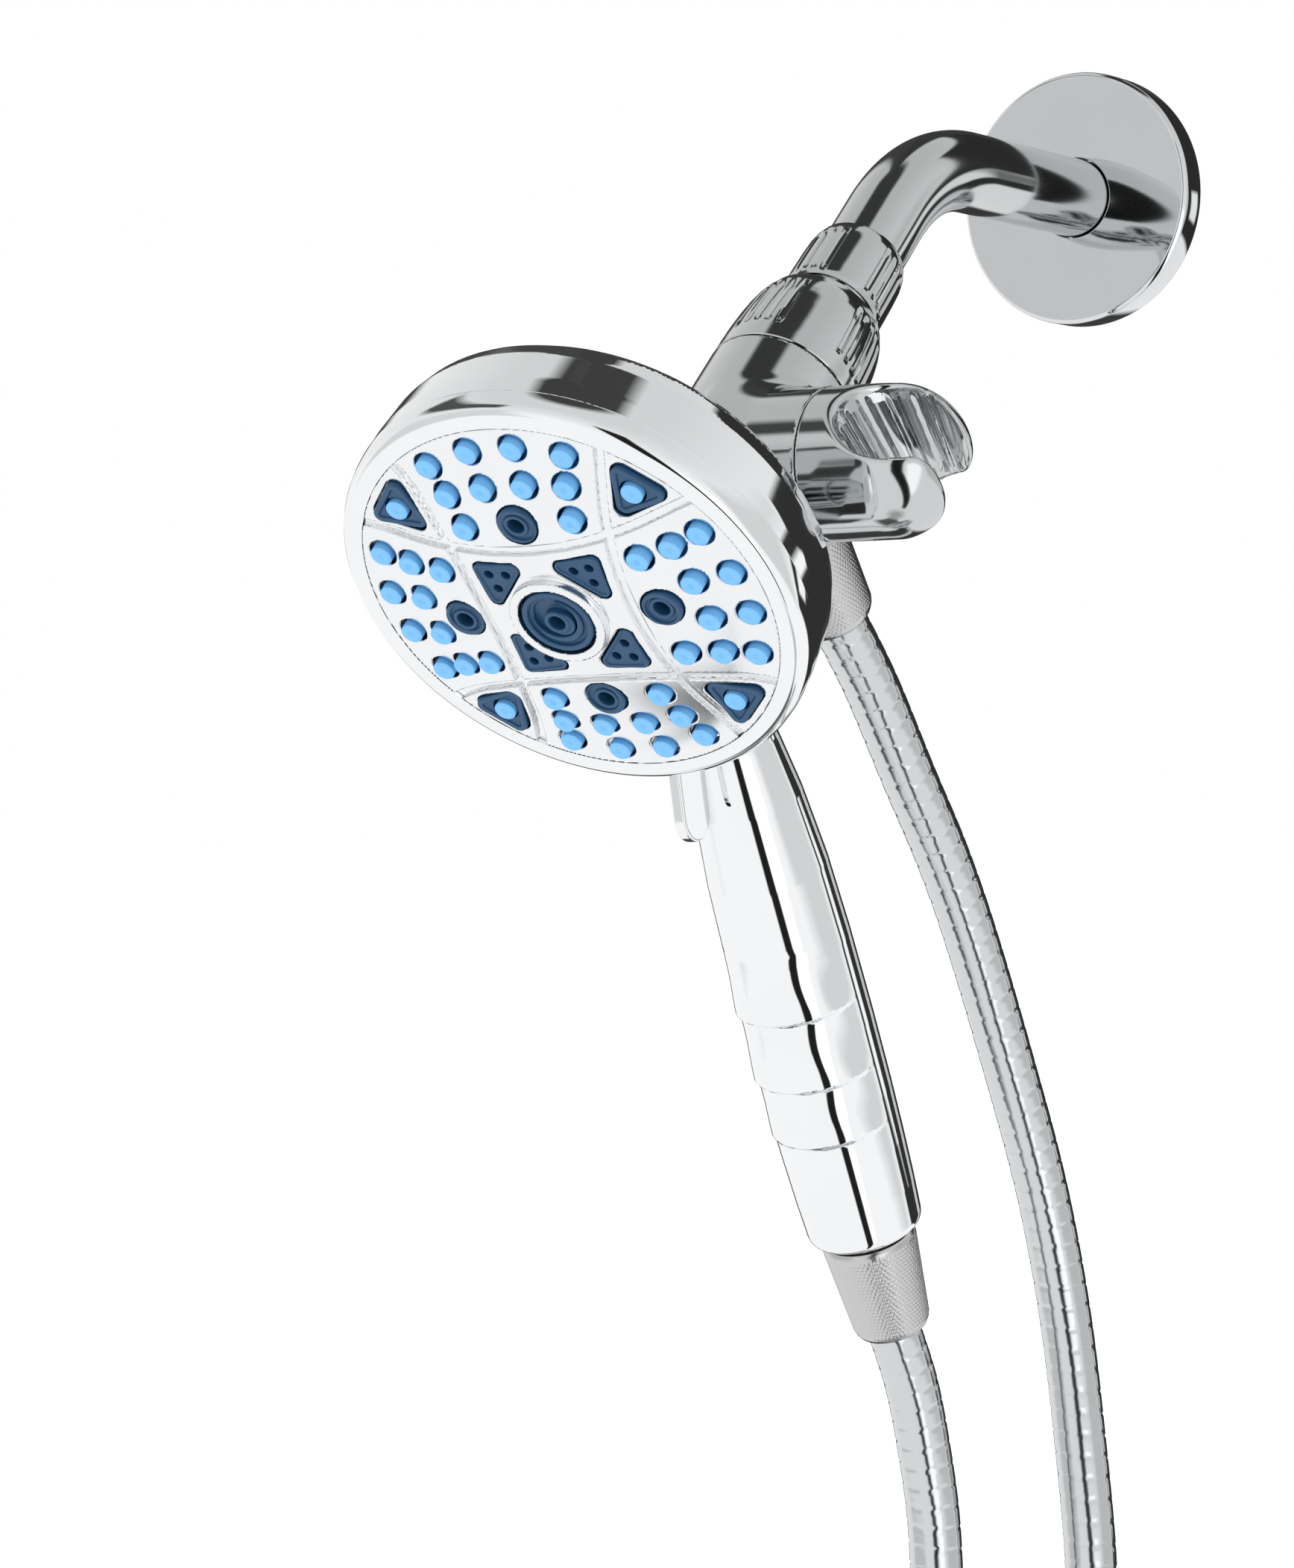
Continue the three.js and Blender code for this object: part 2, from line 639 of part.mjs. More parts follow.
// The male inlet at the handle's lower end.
function inletThread() {
  return onHandle(ring([
    [6, -11.1], [9.9, -11.1], [9.9, -0.4], [11.9, -0.4], [11.9, 17.8], [6, 17.8],
  ], 20));
}

function filterScreen() {
  return onHandle(tube(5.7, 1.2, -8.6, -6.8, 10));
}

// ---------------------------------------------------------------- hose

const HANDSET_TURN = new THREE.Matrix4().makeBasis(
  new THREE.Vector3(0.998, 0.066, 0.022),
  new THREE.Vector3(0.031, -0.699, 0.714),
  new THREE.Vector3(0.063, -0.712, -0.700),
);

const BRACKET_EXIT = bracketPoint([0, -(OUTLET.face + GAP + COUPLER.length) - GAP, OUTLET.at]);
const HANDSET_EXIT = handsetPoint(handlePoint(-(COUPLER.length + 2) - GAP));

function bracketPoint([x, y, z]) {
  return new THREE.Vector3(x, y, z).applyAxisAngle(new THREE.Vector3(1, 0, 0), (90 + PIPE.bend) * DEG).add(LEG_END);
}

function handlePoint(s) {
  const [x, y, z] = HANDLE.end;
  return [x, y + s * Math.cos(HANDLE.lean * DEG), z - s * Math.sin(HANDLE.lean * DEG)];
}

function handsetPoint(p) {
  return new THREE.Vector3(...p).applyMatrix4(HANDSET_TURN).add(new THREE.Vector3(...HEAD.at));
}

// Where a run that comes straight down at a distance x from the coil's middle joins it.
function coilEntry(x) {
  const angle = Math.acos((Math.abs(x) + HOSE.entry) / (COIL.r + HOSE.entry));
  return { angle, top: COIL.z + (COIL.r + HOSE.entry) * Math.sin(angle), side: Math.sign(x) };
}

// The bend that leads from a vertical run onto the coil's layer at the depth y.
function entryBend(x, yFrom, yTo) {
  const { angle, top, side } = coilEntry(x);
  const points = [];
  for (let i = 0; i <= 6; i += 1) {
    const a = (angle * i) / 6;
    const blend = 0.5 - 0.5 * Math.cos((Math.PI * i) / 6);
    const across = Math.abs(x) + HOSE.entry * (1 - Math.cos(a));
    points.push(new THREE.Vector3(side * across, yFrom + (yTo - yFrom) * blend, top - HOSE.entry * Math.sin(a)));
  }
  const past = angle - 0.2;
  points.push(new THREE.Vector3(side * COIL.r * Math.cos(past), yTo, COIL.z + COIL.r * Math.sin(past)));
  return points;
}

const COIL_FAR = COIL.near - COIL.turns * COIL.pitch;

// From the bracket the hose leaves towards the wall and falls behind the handset.
const BRACKET_ROUTE = [
  [0, -114.5, -135.8], [0, -95.6, -159.5], [0, -79.6, -179.1], [0, -66.7, -197.8], [0.3, -46, -234.6],
  [1, -27.9, -272.1], [3.2, -19.2, -306.8], [6.6, -17.0, -341.4], [9.2, -16.9, -366],
];

// From the handset it hangs almost straight down.
const HANDSET_ROUTE = [[-15.5, -69.2, -319.9], [-15.6, -63.1, -336.1], [-15.4, -57.8, -358]];

function hoseRun(exit, route, bend) {
  const points = [exit, ...route.map((p) => new THREE.Vector3(...p)), ...bend];
  const curve = new THREE.CatmullRomCurve3(points, false, 'centripetal');
  const steps = Math.round(curve.getLength() / (HOSE.r * 5));
  return cut(solid(sweep(roundShape(HOSE.r, HOSE.sides), curve, steps)), solid(coilRing(GAP)));
}

// The spare length is wound in a hanging coil: one ring of the coil's outer shape.
function coilRing(grow = 0) {
  const inner = COIL.r - HOSE.r - grow;
  const outer = COIL.r + HOSE.r + grow;
  const half = (COIL.near - COIL_FAR) / 2 + HOSE.r + grow;
  const round = 3;
  const geometry = ring([
    [inner, -half + round], [inner + round, -half], [outer - round, -half], [outer, -half + round],
    [outer, half - round], [outer - round, half], [inner + round, half], [inner, half - round],
  ], 24);
  return geometry.rotateX(Math.PI / 2).translate(0, (COIL.near + COIL_FAR) / 2, COIL.z);
}

// A strap round the coil's section at its lowest point.
function coilTie() {
  const deep = (COIL.near - COIL_FAR) / 2 + HOSE.r + 0.6;
  const high = HOSE.r + 0.9;
  const middle = (COIL.near + COIL_FAR) / 2;
  const strap = (margin, width) => box(
    -width / 2, width / 2, middle - deep - margin, middle + deep + margin,
    COIL.z - COIL.r - high - margin, COIL.z - COIL.r + high + margin,
  );
  return cut(solid(strap(TIE.thick, TIE.width)), solid(strap(0, TIE.width + 2)));
}

// ---------------------------------------------------------------- assembly

const shower = new THREE.Group();

shower.add(
  piece('wall_flange', CHROME, wallFlange()),
  piece('shower_arm', CHROME, showerArm()),
);

const leg = new THREE.Group();
leg.position.copy(LEG_END);
leg.rotation.x = (90 + PIPE.bend) * DEG;
leg.add(
  piece('ball_adapter', CHROME, ballAdapter()),
  piece('retaining_nut', CHROME, retainingNut()),
  piece('ball_seat', WHITE, ballSeat()),
  piece('ball_seal', RUBBER, ballSeal()),
  piece('bracket_body', BRUSHED, bracketBody()),
);
shower.add(leg);

const branch = new THREE.Group();
branch.position.set(0, 0, BRANCH.at);
branch.add(
  piece('cradle', CHROME, cradle()),
  piece('cradle_screw', BRASS, cradleScrew()),
  piece('cradle_washer', WHITE, cradleWasher()),
);
leg.add(branch);

const outlet = new THREE.Group();
outlet.position.set(0, -(OUTLET.face + GAP), OUTLET.at);
outlet.rotation.x = Math.PI / 2;
outlet.add(
  piece('bracket_hose_nut', BRUSHED, couplerNut()),
  piece('bracket_hose_washer', RUBBER, couplerWasher()),
  piece('bracket_hose_ferrule', BRASS, couplerFerrule()),
);
leg.add(outlet);

const handset = new THREE.Group();
handset.applyMatrix4(HANDSET_TURN);
handset.position.set(...HEAD.at);
handset.add(
  piece('face_plate', WHITE, facePlate()),
  piece('jet_insert', BLUE, jetInsert()),
  piece('nozzle_mat', SILICONE, nozzleMat()),
  piece('centre_jet', BLUE, centreJet()),
  piece('bezel_ring', CHROME, bezelRing()),
  piece('handset_shell', CHROME, handsetShell()),
  piece('flow_plate', WHITE, flowPlate()),
  piece('selector_disc', WHITE, selectorDisc()),
  piece('mode_lever', CHROME, modeLever()),
  piece('inlet_gasket', RUBBER, inletGasket()),
  piece('inlet_elbow', WHITE, inletElbow()),
  piece('water_tube', WHITE, waterTube()),
  piece('inlet_thread', BRASS, inletThread()),
  piece('filter_screen', BRUSHED, filterScreen()),
);
shower.add(handset);

const handsetEnd = new THREE.Group();
handsetEnd.position.set(...handlePoint(-2));
handsetEnd.rotation.x = (90 - HANDLE.lean) * DEG;
handsetEnd.add(
  piece('handset_hose_nut', BRUSHED, couplerNut()),
  piece('handset_hose_washer', RUBBER, couplerWasher()),
  piece('handset_hose_ferrule', BRASS, couplerFerrule()),
);
handset.add(handsetEnd);

shower.add(
  piece('hose_run_bracket', BRUSHED, hoseRun(BRACKET_EXIT, BRACKET_ROUTE, entryBend(10, -16.9, COIL.near))),
  piece('hose_run_handset', BRUSHED, hoseRun(HANDSET_EXIT, HANDSET_ROUTE, entryBend(-15.5, -56, COIL_FAR))),
  piece('hose_coil', BRUSHED, coilRing()),
  piece('coil_tie', RUBBER, coilTie()),
);

export default shower;
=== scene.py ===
import math

import bmesh
import bpy
import numpy as np
from mathutils import Matrix, Vector


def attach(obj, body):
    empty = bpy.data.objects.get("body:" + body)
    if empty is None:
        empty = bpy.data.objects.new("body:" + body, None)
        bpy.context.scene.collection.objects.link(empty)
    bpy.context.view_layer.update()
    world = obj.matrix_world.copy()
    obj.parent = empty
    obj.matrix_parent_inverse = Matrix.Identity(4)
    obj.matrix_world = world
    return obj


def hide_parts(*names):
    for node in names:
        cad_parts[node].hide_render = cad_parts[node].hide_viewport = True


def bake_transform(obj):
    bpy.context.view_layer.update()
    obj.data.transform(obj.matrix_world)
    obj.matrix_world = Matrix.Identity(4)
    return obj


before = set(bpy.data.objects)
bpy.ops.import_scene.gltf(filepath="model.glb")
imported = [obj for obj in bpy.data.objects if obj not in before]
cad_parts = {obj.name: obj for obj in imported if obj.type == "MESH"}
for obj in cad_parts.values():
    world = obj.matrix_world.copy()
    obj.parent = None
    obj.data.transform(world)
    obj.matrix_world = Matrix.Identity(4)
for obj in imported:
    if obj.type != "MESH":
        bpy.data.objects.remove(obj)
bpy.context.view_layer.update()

MM = 0.001
DEG = math.pi / 180

# ---------------------------------------------------------------- frames (millimetres)

# The arm runs straight out of the wall, bends down, and ends in a lower leg that carries the ball joint.
RUN = 66.7
BEND_R = 57.7
BEND = 44.6 * DEG
LEG_END = np.array([0, -RUN - BEND_R * math.sin(BEND), -BEND_R * (1 - math.cos(BEND))])
M_AXIS = np.array([0, -math.sin(BEND), math.cos(BEND)])   # across the leg, upwards
T_AXIS = np.array([0, -math.cos(BEND), -math.sin(BEND)])  # down the leg
BRANCH_T = 98.2  # the cradle's branch and the hose outlet, as distances down the leg
OUTLET_T = 88.7
OUTLET_REACH = 27.9
GAP = 0.32       # clearance between pieces
NUT_LENGTH = 29.0


def frame_matrix(x, y, z, at):
    m = Matrix.Identity(4)
    for row in range(3):
        m[row][0], m[row][1], m[row][2], m[row][3] = x[row], y[row], z[row], at[row]
    return m


WORLD = Matrix.Identity(4)
LEG = frame_matrix((1, 0, 0), M_AXIS, T_AXIS, LEG_END)
HEAD = frame_matrix((0.998, 0.066, 0.022), (0.031, -0.699, 0.714), (0.063, -0.712, -0.700), (-9.2, -232.6, -119.8))
LEAN = 17.1 * DEG
FOOT_Y, FOOT_Z = -210, 9.5  # the handle's lower end, in the head's frame
NUT_DROP = 2                # from there to the hose nut
# The handle's own frame: z up the handle from its lower end, -y to the front.
HANDLE = HEAD @ frame_matrix(
    (1, 0, 0), (0, -math.sin(LEAN), -math.cos(LEAN)), (0, math.cos(LEAN), -math.sin(LEAN)), (0, FOOT_Y, FOOT_Z))
COUPLER_DOWN = HEAD @ frame_matrix(
    (1, 0, 0), (0, math.sin(LEAN), math.cos(LEAN)), (0, -math.cos(LEAN), math.sin(LEAN)),
    (0, FOOT_Y - NUT_DROP * math.cos(LEAN), FOOT_Z + NUT_DROP * math.sin(LEAN)))
COUPLER_WALL = LEG @ frame_matrix((1, 0, 0), (0, 0, 1), (0, -1, 0), (0, -OUTLET_REACH - GAP, OUTLET_T))
CRADLE = LEG @ Matrix.Translation((0, 0, BRANCH_T))


# ---------------------------------------------------------------- camera

def make_camera():
    data = bpy.data.cameras.new("camera")
    data.lens = 98.8
    data.sensor_width = 36
    data.clip_start, data.clip_end = 0.01, 100
    cam = bpy.data.objects.new("camera", data)
    bpy.context.scene.collection.objects.link(cam)
    right, up, ahead = (0.8198, 0.5727, 0), (0.0031, -0.0045, 1.0), (-0.5727, 0.8198, 0.0054)
    cam.matrix_world = frame_matrix(right, up, tuple(-v for v in ahead), (0.5807, -1.0449, -0.1675))
    bpy.context.scene.camera = cam


make_camera()


# ---------------------------------------------------------------- meshes

def make_object(name, verts, faces, place, material, normals=None, angle=None):
    """A mesh object from points in millimetres in the frame `place`; edges sharper than `angle` stay hard."""
    m = np.array(place)
    co = (np.asarray(verts, float) @ m[:3, :3].T + m[:3, 3]) * MM
    me = bpy.data.meshes.new(name)
    me.vertices.add(len(co))
    me.vertices.foreach_set("co", co.astype(np.float32).ravel())
    if isinstance(faces, np.ndarray):
        sizes, loops = np.full(len(faces), faces.shape[1]), faces.ravel()
    else:
        sizes, loops = np.array([len(f) for f in faces]), np.concatenate([np.asarray(f) for f in faces])
    me.loops.add(len(loops))
    me.loops.foreach_set("vertex_index", loops.astype(np.int32))
    me.polygons.add(len(sizes))
    me.polygons.foreach_set("loop_start", np.concatenate([[0], np.cumsum(sizes)[:-1]]).astype(np.int32))
    me.update(calc_edges=True)
    me.validate()
    me.polygons.foreach_set("use_smooth", np.ones(len(me.polygons), bool))
    if normals is not None:
        turned = np.asarray(normals, float) @ m[:3, :3].T
        turned /= np.linalg.norm(turned, axis=1)[:, None]
        me.normals_split_custom_set_from_vertices(turned.tolist())
    elif angle:
        me.set_sharp_from_angle(angle=angle * DEG)
    obj = bpy.data.objects.new(name, me)
    bpy.context.scene.collection.objects.link(obj)
    me.materials.append(material)
    return obj


def grid_faces(rows, cols, wrap_rows=False):
    """Quads between rings of `cols` points each; wrap_rows joins the last ring to the first."""
    i, j = np.meshgrid(np.arange(rows if wrap_rows else rows - 1), np.arange(cols), indexing="ij")
    i2, j2 = (i + 1) % rows, (j + 1) % cols
    return np.stack([i * cols + j, i * cols + j2, i2 * cols + j2, i2 * cols + j], -1).reshape(-1, 4)


def smooth_profile(points, bevel):
    """Breaks each corner of a profile with a small round."""
    pts = [np.array(p, float) for p in points]
    if not bevel:
        return pts
    out = []
    n = len(pts)
    closed = np.allclose(pts[0], pts[-1])
    for i, p in enumerate(pts):
        if not closed and i in (0, n - 1):
            out.append(p)
            continue
        a = pts[i - 1] if i else pts[n - 2]
        b = pts[(i + 1) % n] if i < n - 1 else pts[1]
        la, lb = np.linalg.norm(a - p), np.linalg.norm(b - p)
        cut = min(bevel, la * 0.4, lb * 0.4)
        if la < 1e-6 or lb < 1e-6 or p[0] < 1e-6:
            out.append(p)
            continue
        before, after = p + (a - p) / la * cut, p + (b - p) / lb * cut
        for t in (0, 0.33, 0.67, 1):
            out.append((1 - t) ** 2 * before + 2 * t * (1 - t) * p + t * t * after)
    return out


def lathe(name, profile, place, material, segments=128, bevel=0.25, angle=35, wave=None):
    """A turned piece about z; wave(angles, r, z) may change each ring's radii."""
    prof = smooth_profile(profile, bevel)
    a = np.linspace(0, 2 * math.pi, segments, endpoint=False)
    rings = []
    for r, z in prof:
        radii = np.full(segments, r) if wave is None else wave(a, r, z)
        rings.append(np.stack([radii * np.cos(a), radii * np.sin(a), np.full(segments, z)], -1))
    verts = np.concatenate(rings)
    faces = grid_faces(len(prof), segments)
    area = sum(p[0] * q[1] - q[0] * p[1] for p, q in zip(prof, prof[1:] + prof[:1]))
    if area < 0:
        faces = faces[:, ::-1]
    obj = make_object(name, verts, faces, place, material)
    me = obj.data
    bm = bmesh.new()
    bm.from_mesh(me)
    bmesh.ops.remove_doubles(bm, verts=bm.verts, dist=1e-7)
    bm.to_mesh(me)
    bm.free()
    me.polygons.foreach_set("use_smooth", np.ones(len(me.polygons), bool))
    me.set_sharp_from_angle(angle=angle * DEG)
    return obj


# ---------------------------------------------------------------- distance fields

def smin(a, b, k):
    """The smaller of two distances, blended over k."""
    h = np.clip(0.5 + 0.5 * (b - a) / k, 0, 1)
    return b + (a - b) * h - k * h * (1 - h)


def smax(a, b, k):
    return -smin(-a, -b, k)


def disc(rad, along, r, lo, hi, q=0.0):
    """A cylinder from its radial distance and its position along its axis, with rounded rims."""
    d = rad - (r - q)
    e = np.maximum(lo + q - along, along - (hi - q))
    return np.minimum(np.maximum(d, e), 0) + np.hypot(np.maximum(d, 0), np.maximum(e, 0)) - q


def polygon(u, v, pts):
    """Signed distance to a closed outline in the plane, negative inside."""
    best = np.full(u.shape, 1e9)
    inside = np.zeros(u.shape, bool)
    n = len(pts)
    for i in range(n):
        (ax, ay), (bx, by) = pts[i], pts[(i + 1) % n]
        ex, ey = bx - ax, by - ay
        wx, wy = u - ax, v - ay
        t = np.clip((wx * ex + wy * ey) / (ex * ex + ey * ey + 1e-12), 0, 1)
        best = np.minimum(best, (wx - ex * t) ** 2 + (wy - ey * t) ** 2)
        if ey != 0:
            crosses = ((ay > v) != (by > v)) & (u < ex * (v - ay) / ey + ax)
            inside ^= crosses
    return np.where(inside, -1, 1) * np.sqrt(best)


def surface(name, field, lo, hi, step, place, material):
    """The zero surface of a distance field as a quad mesh, with the field's own normals.

    Each cell that the surface passes through gets one point, which slides down the gradient onto the surface
    without leaving the cell's surroundings. Each crossed edge of the grid gets one quad.
    """
    axes = [np.arange(lo[i], hi[i] + step, step) for i in range(3)]
    x, y, z = np.meshgrid(*axes, indexing="ij")
    inside = field(x, y, z) < 0
    s = inside.astype(np.int8)
    total = sum(s[i:s.shape[0] - 1 + i, j:s.shape[1] - 1 + j, k:s.shape[2] - 1 + k]
                for i in (0, 1) for j in (0, 1) for k in (0, 1))
    active = (total > 0) & (total < 8)
    index = np.full(active.shape, -1, np.int64)
    index[active] = np.arange(active.sum())
    cell = np.argwhere(active)
    p = np.stack([axes[i][cell[:, i]] + step / 2 for i in range(3)], -1)
    h = step * 0.3

    def gradient(q):
        g = []
        for i in range(3):
            d = np.zeros(3)
            d[i] = h
            g.append((field(*(q + d).T) - field(*(q - d).T)) / (2 * h))
        g = np.stack(g, -1)
        return g / (np.linalg.norm(g, axis=1)[:, None] + 1e-9)

    start = p.copy()
    for _ in range(3):
        g = gradient(p)
        p = p - np.clip(field(*p.T), -step, step)[:, None] * g
        p = start + np.clip(p - start, -step * 0.75, step * 0.75)
    normals = gradient(p)
    quads = []
    for ax in range(3):
        b, c = (ax + 1) % 3, (ax + 2) % 3
        first = np.take(inside, range(inside.shape[ax] - 1), ax)
        second = np.take(inside, range(1, inside.shape[ax]), ax)
        edge = np.argwhere(first != second)
        within = (edge[:, b] > 0) & (edge[:, c] > 0)
        within &= (edge[:, b] < inside.shape[b] - 1) & (edge[:, c] < inside.shape[c] - 1)
        edge = edge[within]
        corner = []
        for db, dc in ((-1, -1), (0, -1), (0, 0), (-1, 0)):
            e = edge.copy()
            e[:, b] += db
            e[:, c] += dc
            corner.append(index[tuple(e.T)])
        quad = np.stack(corner, -1)
        flip = ~first[tuple(edge.T)]
        quad[flip] = quad[flip][:, ::-1]
        quads.append(quad)
    return make_object(name, p, np.concatenate(quads), place, material, normals=normals)


# ---------------------------------------------------------------- materials

def shader(name, color, metallic, roughness, grain=0.0, grain_scale=300.0, bump=0.0, coat=0.0):
    """A plain material whose roughness and tone vary slightly with a fine noise."""
    m = bpy.data.materials.new(name)
    m.use_nodes = True
    nt = m.node_tree
    b = nt.nodes["Principled BSDF"]
    b.inputs["Base Color"].default_value = (*color, 1)
    b.inputs["Metallic"].default_value = metallic
    b.inputs["Roughness"].default_value = roughness
    b.inputs["Coat Weight"].default_value = coat
    coords = nt.nodes.new("ShaderNodeTexCoord")
    noise = nt.nodes.new("ShaderNodeTexNoise")
    noise.inputs["Scale"].default_value = grain_scale
    noise.inputs["Detail"].default_value = 3
    nt.links.new(coords.outputs["Object"], noise.inputs["Vector"])
    spread = nt.nodes.new("ShaderNodeMapRange")
    spread.inputs["To Min"].default_value = max(0.0, roughness - grain)
    spread.inputs["To Max"].default_value = roughness + grain
    nt.links.new(noise.outputs["Fac"], spread.inputs["Value"])
    nt.links.new(spread.outputs["Result"], b.inputs["Roughness"])
    tone = nt.nodes.new("ShaderNodeMix")
    tone.data_type = "RGBA"
    tone.inputs["A"].default_value = (*[c * 0.97 for c in color], 1)
    tone.inputs["B"].default_value = (*[min(1, c * 1.02) for c in color], 1)
    nt.links.new(noise.outputs["Fac"], tone.inputs["Factor"])
    nt.links.new(tone.outputs["Result"], b.inputs["Base Color"])
    if bump:
        lift = nt.nodes.new("ShaderNodeBump")
        lift.inputs["Strength"].default_value = bump
        lift.inputs["Distance"].default_value = 0.0002
        nt.links.new(noise.outputs["Fac"], lift.inputs["Height"])
        nt.links.new(lift.outputs["Normal"], b.inputs["Normal"])
    return m


CHROME = shader("bright_chrome", (0.90, 0.915, 0.925), 1.0, 0.045, grain=0.01, grain_scale=60)
FACE = shader("face_chrome", (0.90, 0.915, 0.925), 1.0, 0.16, grain=0.015, grain_scale=80)
# A darker copy of the bright chrome: painted shade for the arm, ball joint, nut, bracket and cradle; the filter
# screen also takes it.
CHROME_PAINTED_DARKER = shader("bracket_chrome_painted_darker", (0.60, 0.615, 0.62), 1.0, 0.09, grain=0.015, grain_scale=60)
FLANGE = shader("flange_chrome", (0.72, 0.735, 0.745), 1.0, 0.03, grain=0.005, grain_scale=60)
KNURL = shader("knurled_steel", (0.60, 0.60, 0.61), 1.0, 0.22, grain=0.03, grain_scale=900)
HOSE = shader("hose_steel", (0.66, 0.68, 0.69), 1.0, 0.16, grain=0.02, grain_scale=300)
JET = shader("soft_jets", (0.155, 0.45, 0.83), 0.0, 0.42, grain=0.04, grain_scale=900, bump=0.1, coat=0.15)
BLUE = shader("blue_plastic", (0.012, 0.062, 0.142), 0.0, 0.38, grain=0.04, grain_scale=700, bump=0.15)
DARK = shader("dark_rubber", (0.012, 0.013, 0.014), 0.0, 0.7, grain=0.05, grain_scale=500)
WHITE = shader("white_plastic", (0.78, 0.79, 0.79), 0.0, 0.4, grain=0.04, grain_scale=300)
BRASS = shader("brass", (0.72, 0.55, 0.28), 1.0, 0.25, grain=0.04, grain_scale=300)
# Brass darkened to paint the shade of the gap at the handle's lower rim.
BRASS_PAINTED_SHADE = shader("brass_painted_shade", (0.10, 0.085, 0.06), 1.0, 0.45, grain=0.04, grain_scale=300)

PLAIN = {
    "ball_seat": WHITE, "ball_seal": DARK, "cradle_screw": BRASS, "cradle_washer": WHITE, "bracket_hose_washer": DARK,
    "bracket_hose_ferrule": BRASS, "flow_plate": WHITE, "selector_disc": WHITE, "inlet_gasket": DARK,
    "inlet_elbow": WHITE, "water_tube": WHITE, "inlet_thread": BRASS_PAINTED_SHADE, "filter_screen": CHROME_PAINTED_DARKER,
    "handset_hose_washer": DARK, "handset_hose_ferrule": BRASS,
}
for node, material in PLAIN.items():
    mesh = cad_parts[node].data
    mesh.materials.clear()
    mesh.materials.append(material)


# ---------------------------------------------------------------- hose

# The put-away part of the hose is a hanging coil; its windings step from `near` towards the room.
COIL = {"r": 75.0, "z": -495.0, "near": -20.5, "pitch": 14.6, "turns": 2.82}
COIL_FAR = COIL["near"] - COIL["turns"] * COIL["pitch"]
ENTRY = 60.0       # radius of the bend from a hanging run into the coil
HOSE_R = 7.1
HOSE_SIDES = 28
HOSE_STEP = 0.75   # spacing of the hose's rings
WINDING = 5.9      # pitch of the steel winding
FOLLOW = 150       # length of hose at the handset end that bend_weights weighs


def coil_entry(x):
    """Where the run at x leaves the vertical: the bend's angle, its top, and its side."""
    angle = math.acos((abs(x) + ENTRY) / (COIL["r"] + ENTRY))
    return angle, COIL["z"] + (COIL["r"] + ENTRY) * math.sin(angle), math.copysign(1, x)


def entry_bend(x, y_from, y_to):
    """Points of the bend from the run at x down to the coil, with the coil angle where it lands."""
    angle, top, side = coil_entry(x)
    pts = []
    for i in range(6):
        a = angle * i / 6
        blend = 0.5 - 0.5 * math.cos(math.pi * i / 6)
        across = side * (abs(x) + ENTRY * (1 - math.cos(a)))
        pts.append((across, y_from + (y_to - y_from) * blend, top - ENTRY * math.sin(a)))
    return pts, angle


def run_length(points):
    """Distance along a line of points, at each point."""
    return np.concatenate([[0], np.cumsum(np.linalg.norm(np.diff(points, axis=0), axis=1))])


def spline(points, spacing):
    """Evenly spaced points on a centripetal Catmull-Rom curve, and the curve's length."""
    p = [np.array(q, float) for q in points]
    p = [2 * p[0] - p[1]] + p + [2 * p[-1] - p[-2]]
    out = []
    for i in range(1, len(p) - 2):
        p0, p1, p2, p3 = p[i - 1:i + 3]
        t0 = 0
        t1 = t0 + np.linalg.norm(p1 - p0) ** 0.5
        t2 = t1 + np.linalg.norm(p2 - p1) ** 0.5
        t3 = t2 + np.linalg.norm(p3 - p2) ** 0.5
        for t in np.linspace(t1, t2, 40, endpoint=False):
            a1 = (t1 - t) / (t1 - t0) * p0 + (t - t0) / (t1 - t0) * p1
            a2 = (t2 - t) / (t2 - t1) * p1 + (t - t1) / (t2 - t1) * p2
            a3 = (t3 - t) / (t3 - t2) * p2 + (t - t2) / (t3 - t2) * p3
            b1 = (t2 - t) / (t2 - t0) * a1 + (t - t0) / (t2 - t0) * a2
            b2 = (t3 - t) / (t3 - t1) * a2 + (t - t1) / (t3 - t1) * a3
            out.append((t2 - t) / (t2 - t1) * b1 + (t - t1) / (t2 - t1) * b2)
    out.append(p[-2])
    out = np.array(out)
    run = run_length(out)
    even = np.linspace(0, run[-1], int(run[-1] / spacing) + 1)
    return np.stack([np.interp(even, run, out[:, i]) for i in range(3)], -1), run[-1]


def hose_route():
    """From the bracket's outlet down to the coil, round it, and up to the handset."""
    start = np.array(LEG @ Vector((0, -(OUTLET_REACH + GAP + NUT_LENGTH) - GAP, OUTLET_T)))
    end = np.array(COUPLER_DOWN @ Vector((0, 0, NUT_LENGTH + GAP)))
    down = [
        (0, -114.5, -135.8), (0, -95.6, -159.5), (0, -79.6, -179.1), (0, -66.7, -197.8), (0.3, -46, -234.6),
        (1, -27.9, -272.1), (3.2, -19.2, -306.8), (6.6, -17.0, -341.4), (9.2, -16.9, -366),
    ]
    up = [(-15.4, -57.8, -358), (-15.6, -63.1, -336.1), (-15.5, -69.2, -319.9)]
    first, a0 = entry_bend(10, -16.9, COIL["near"])
    last, a1 = entry_bend(-15.5, -56, COIL_FAR)
    sweep = a0 + 5 * math.pi + a1
    turns = []
    for t in np.linspace(0, 1, 49):
        a = a0 - sweep * t
        depth = COIL["near"] + (COIL_FAR - COIL["near"]) * t
        turns.append((COIL["r"] * math.cos(a), depth, COIL["z"] + COIL["r"] * math.sin(a)))
    return [tuple(start), *down, *first, *turns, *last[::-1], *up, tuple(end)]


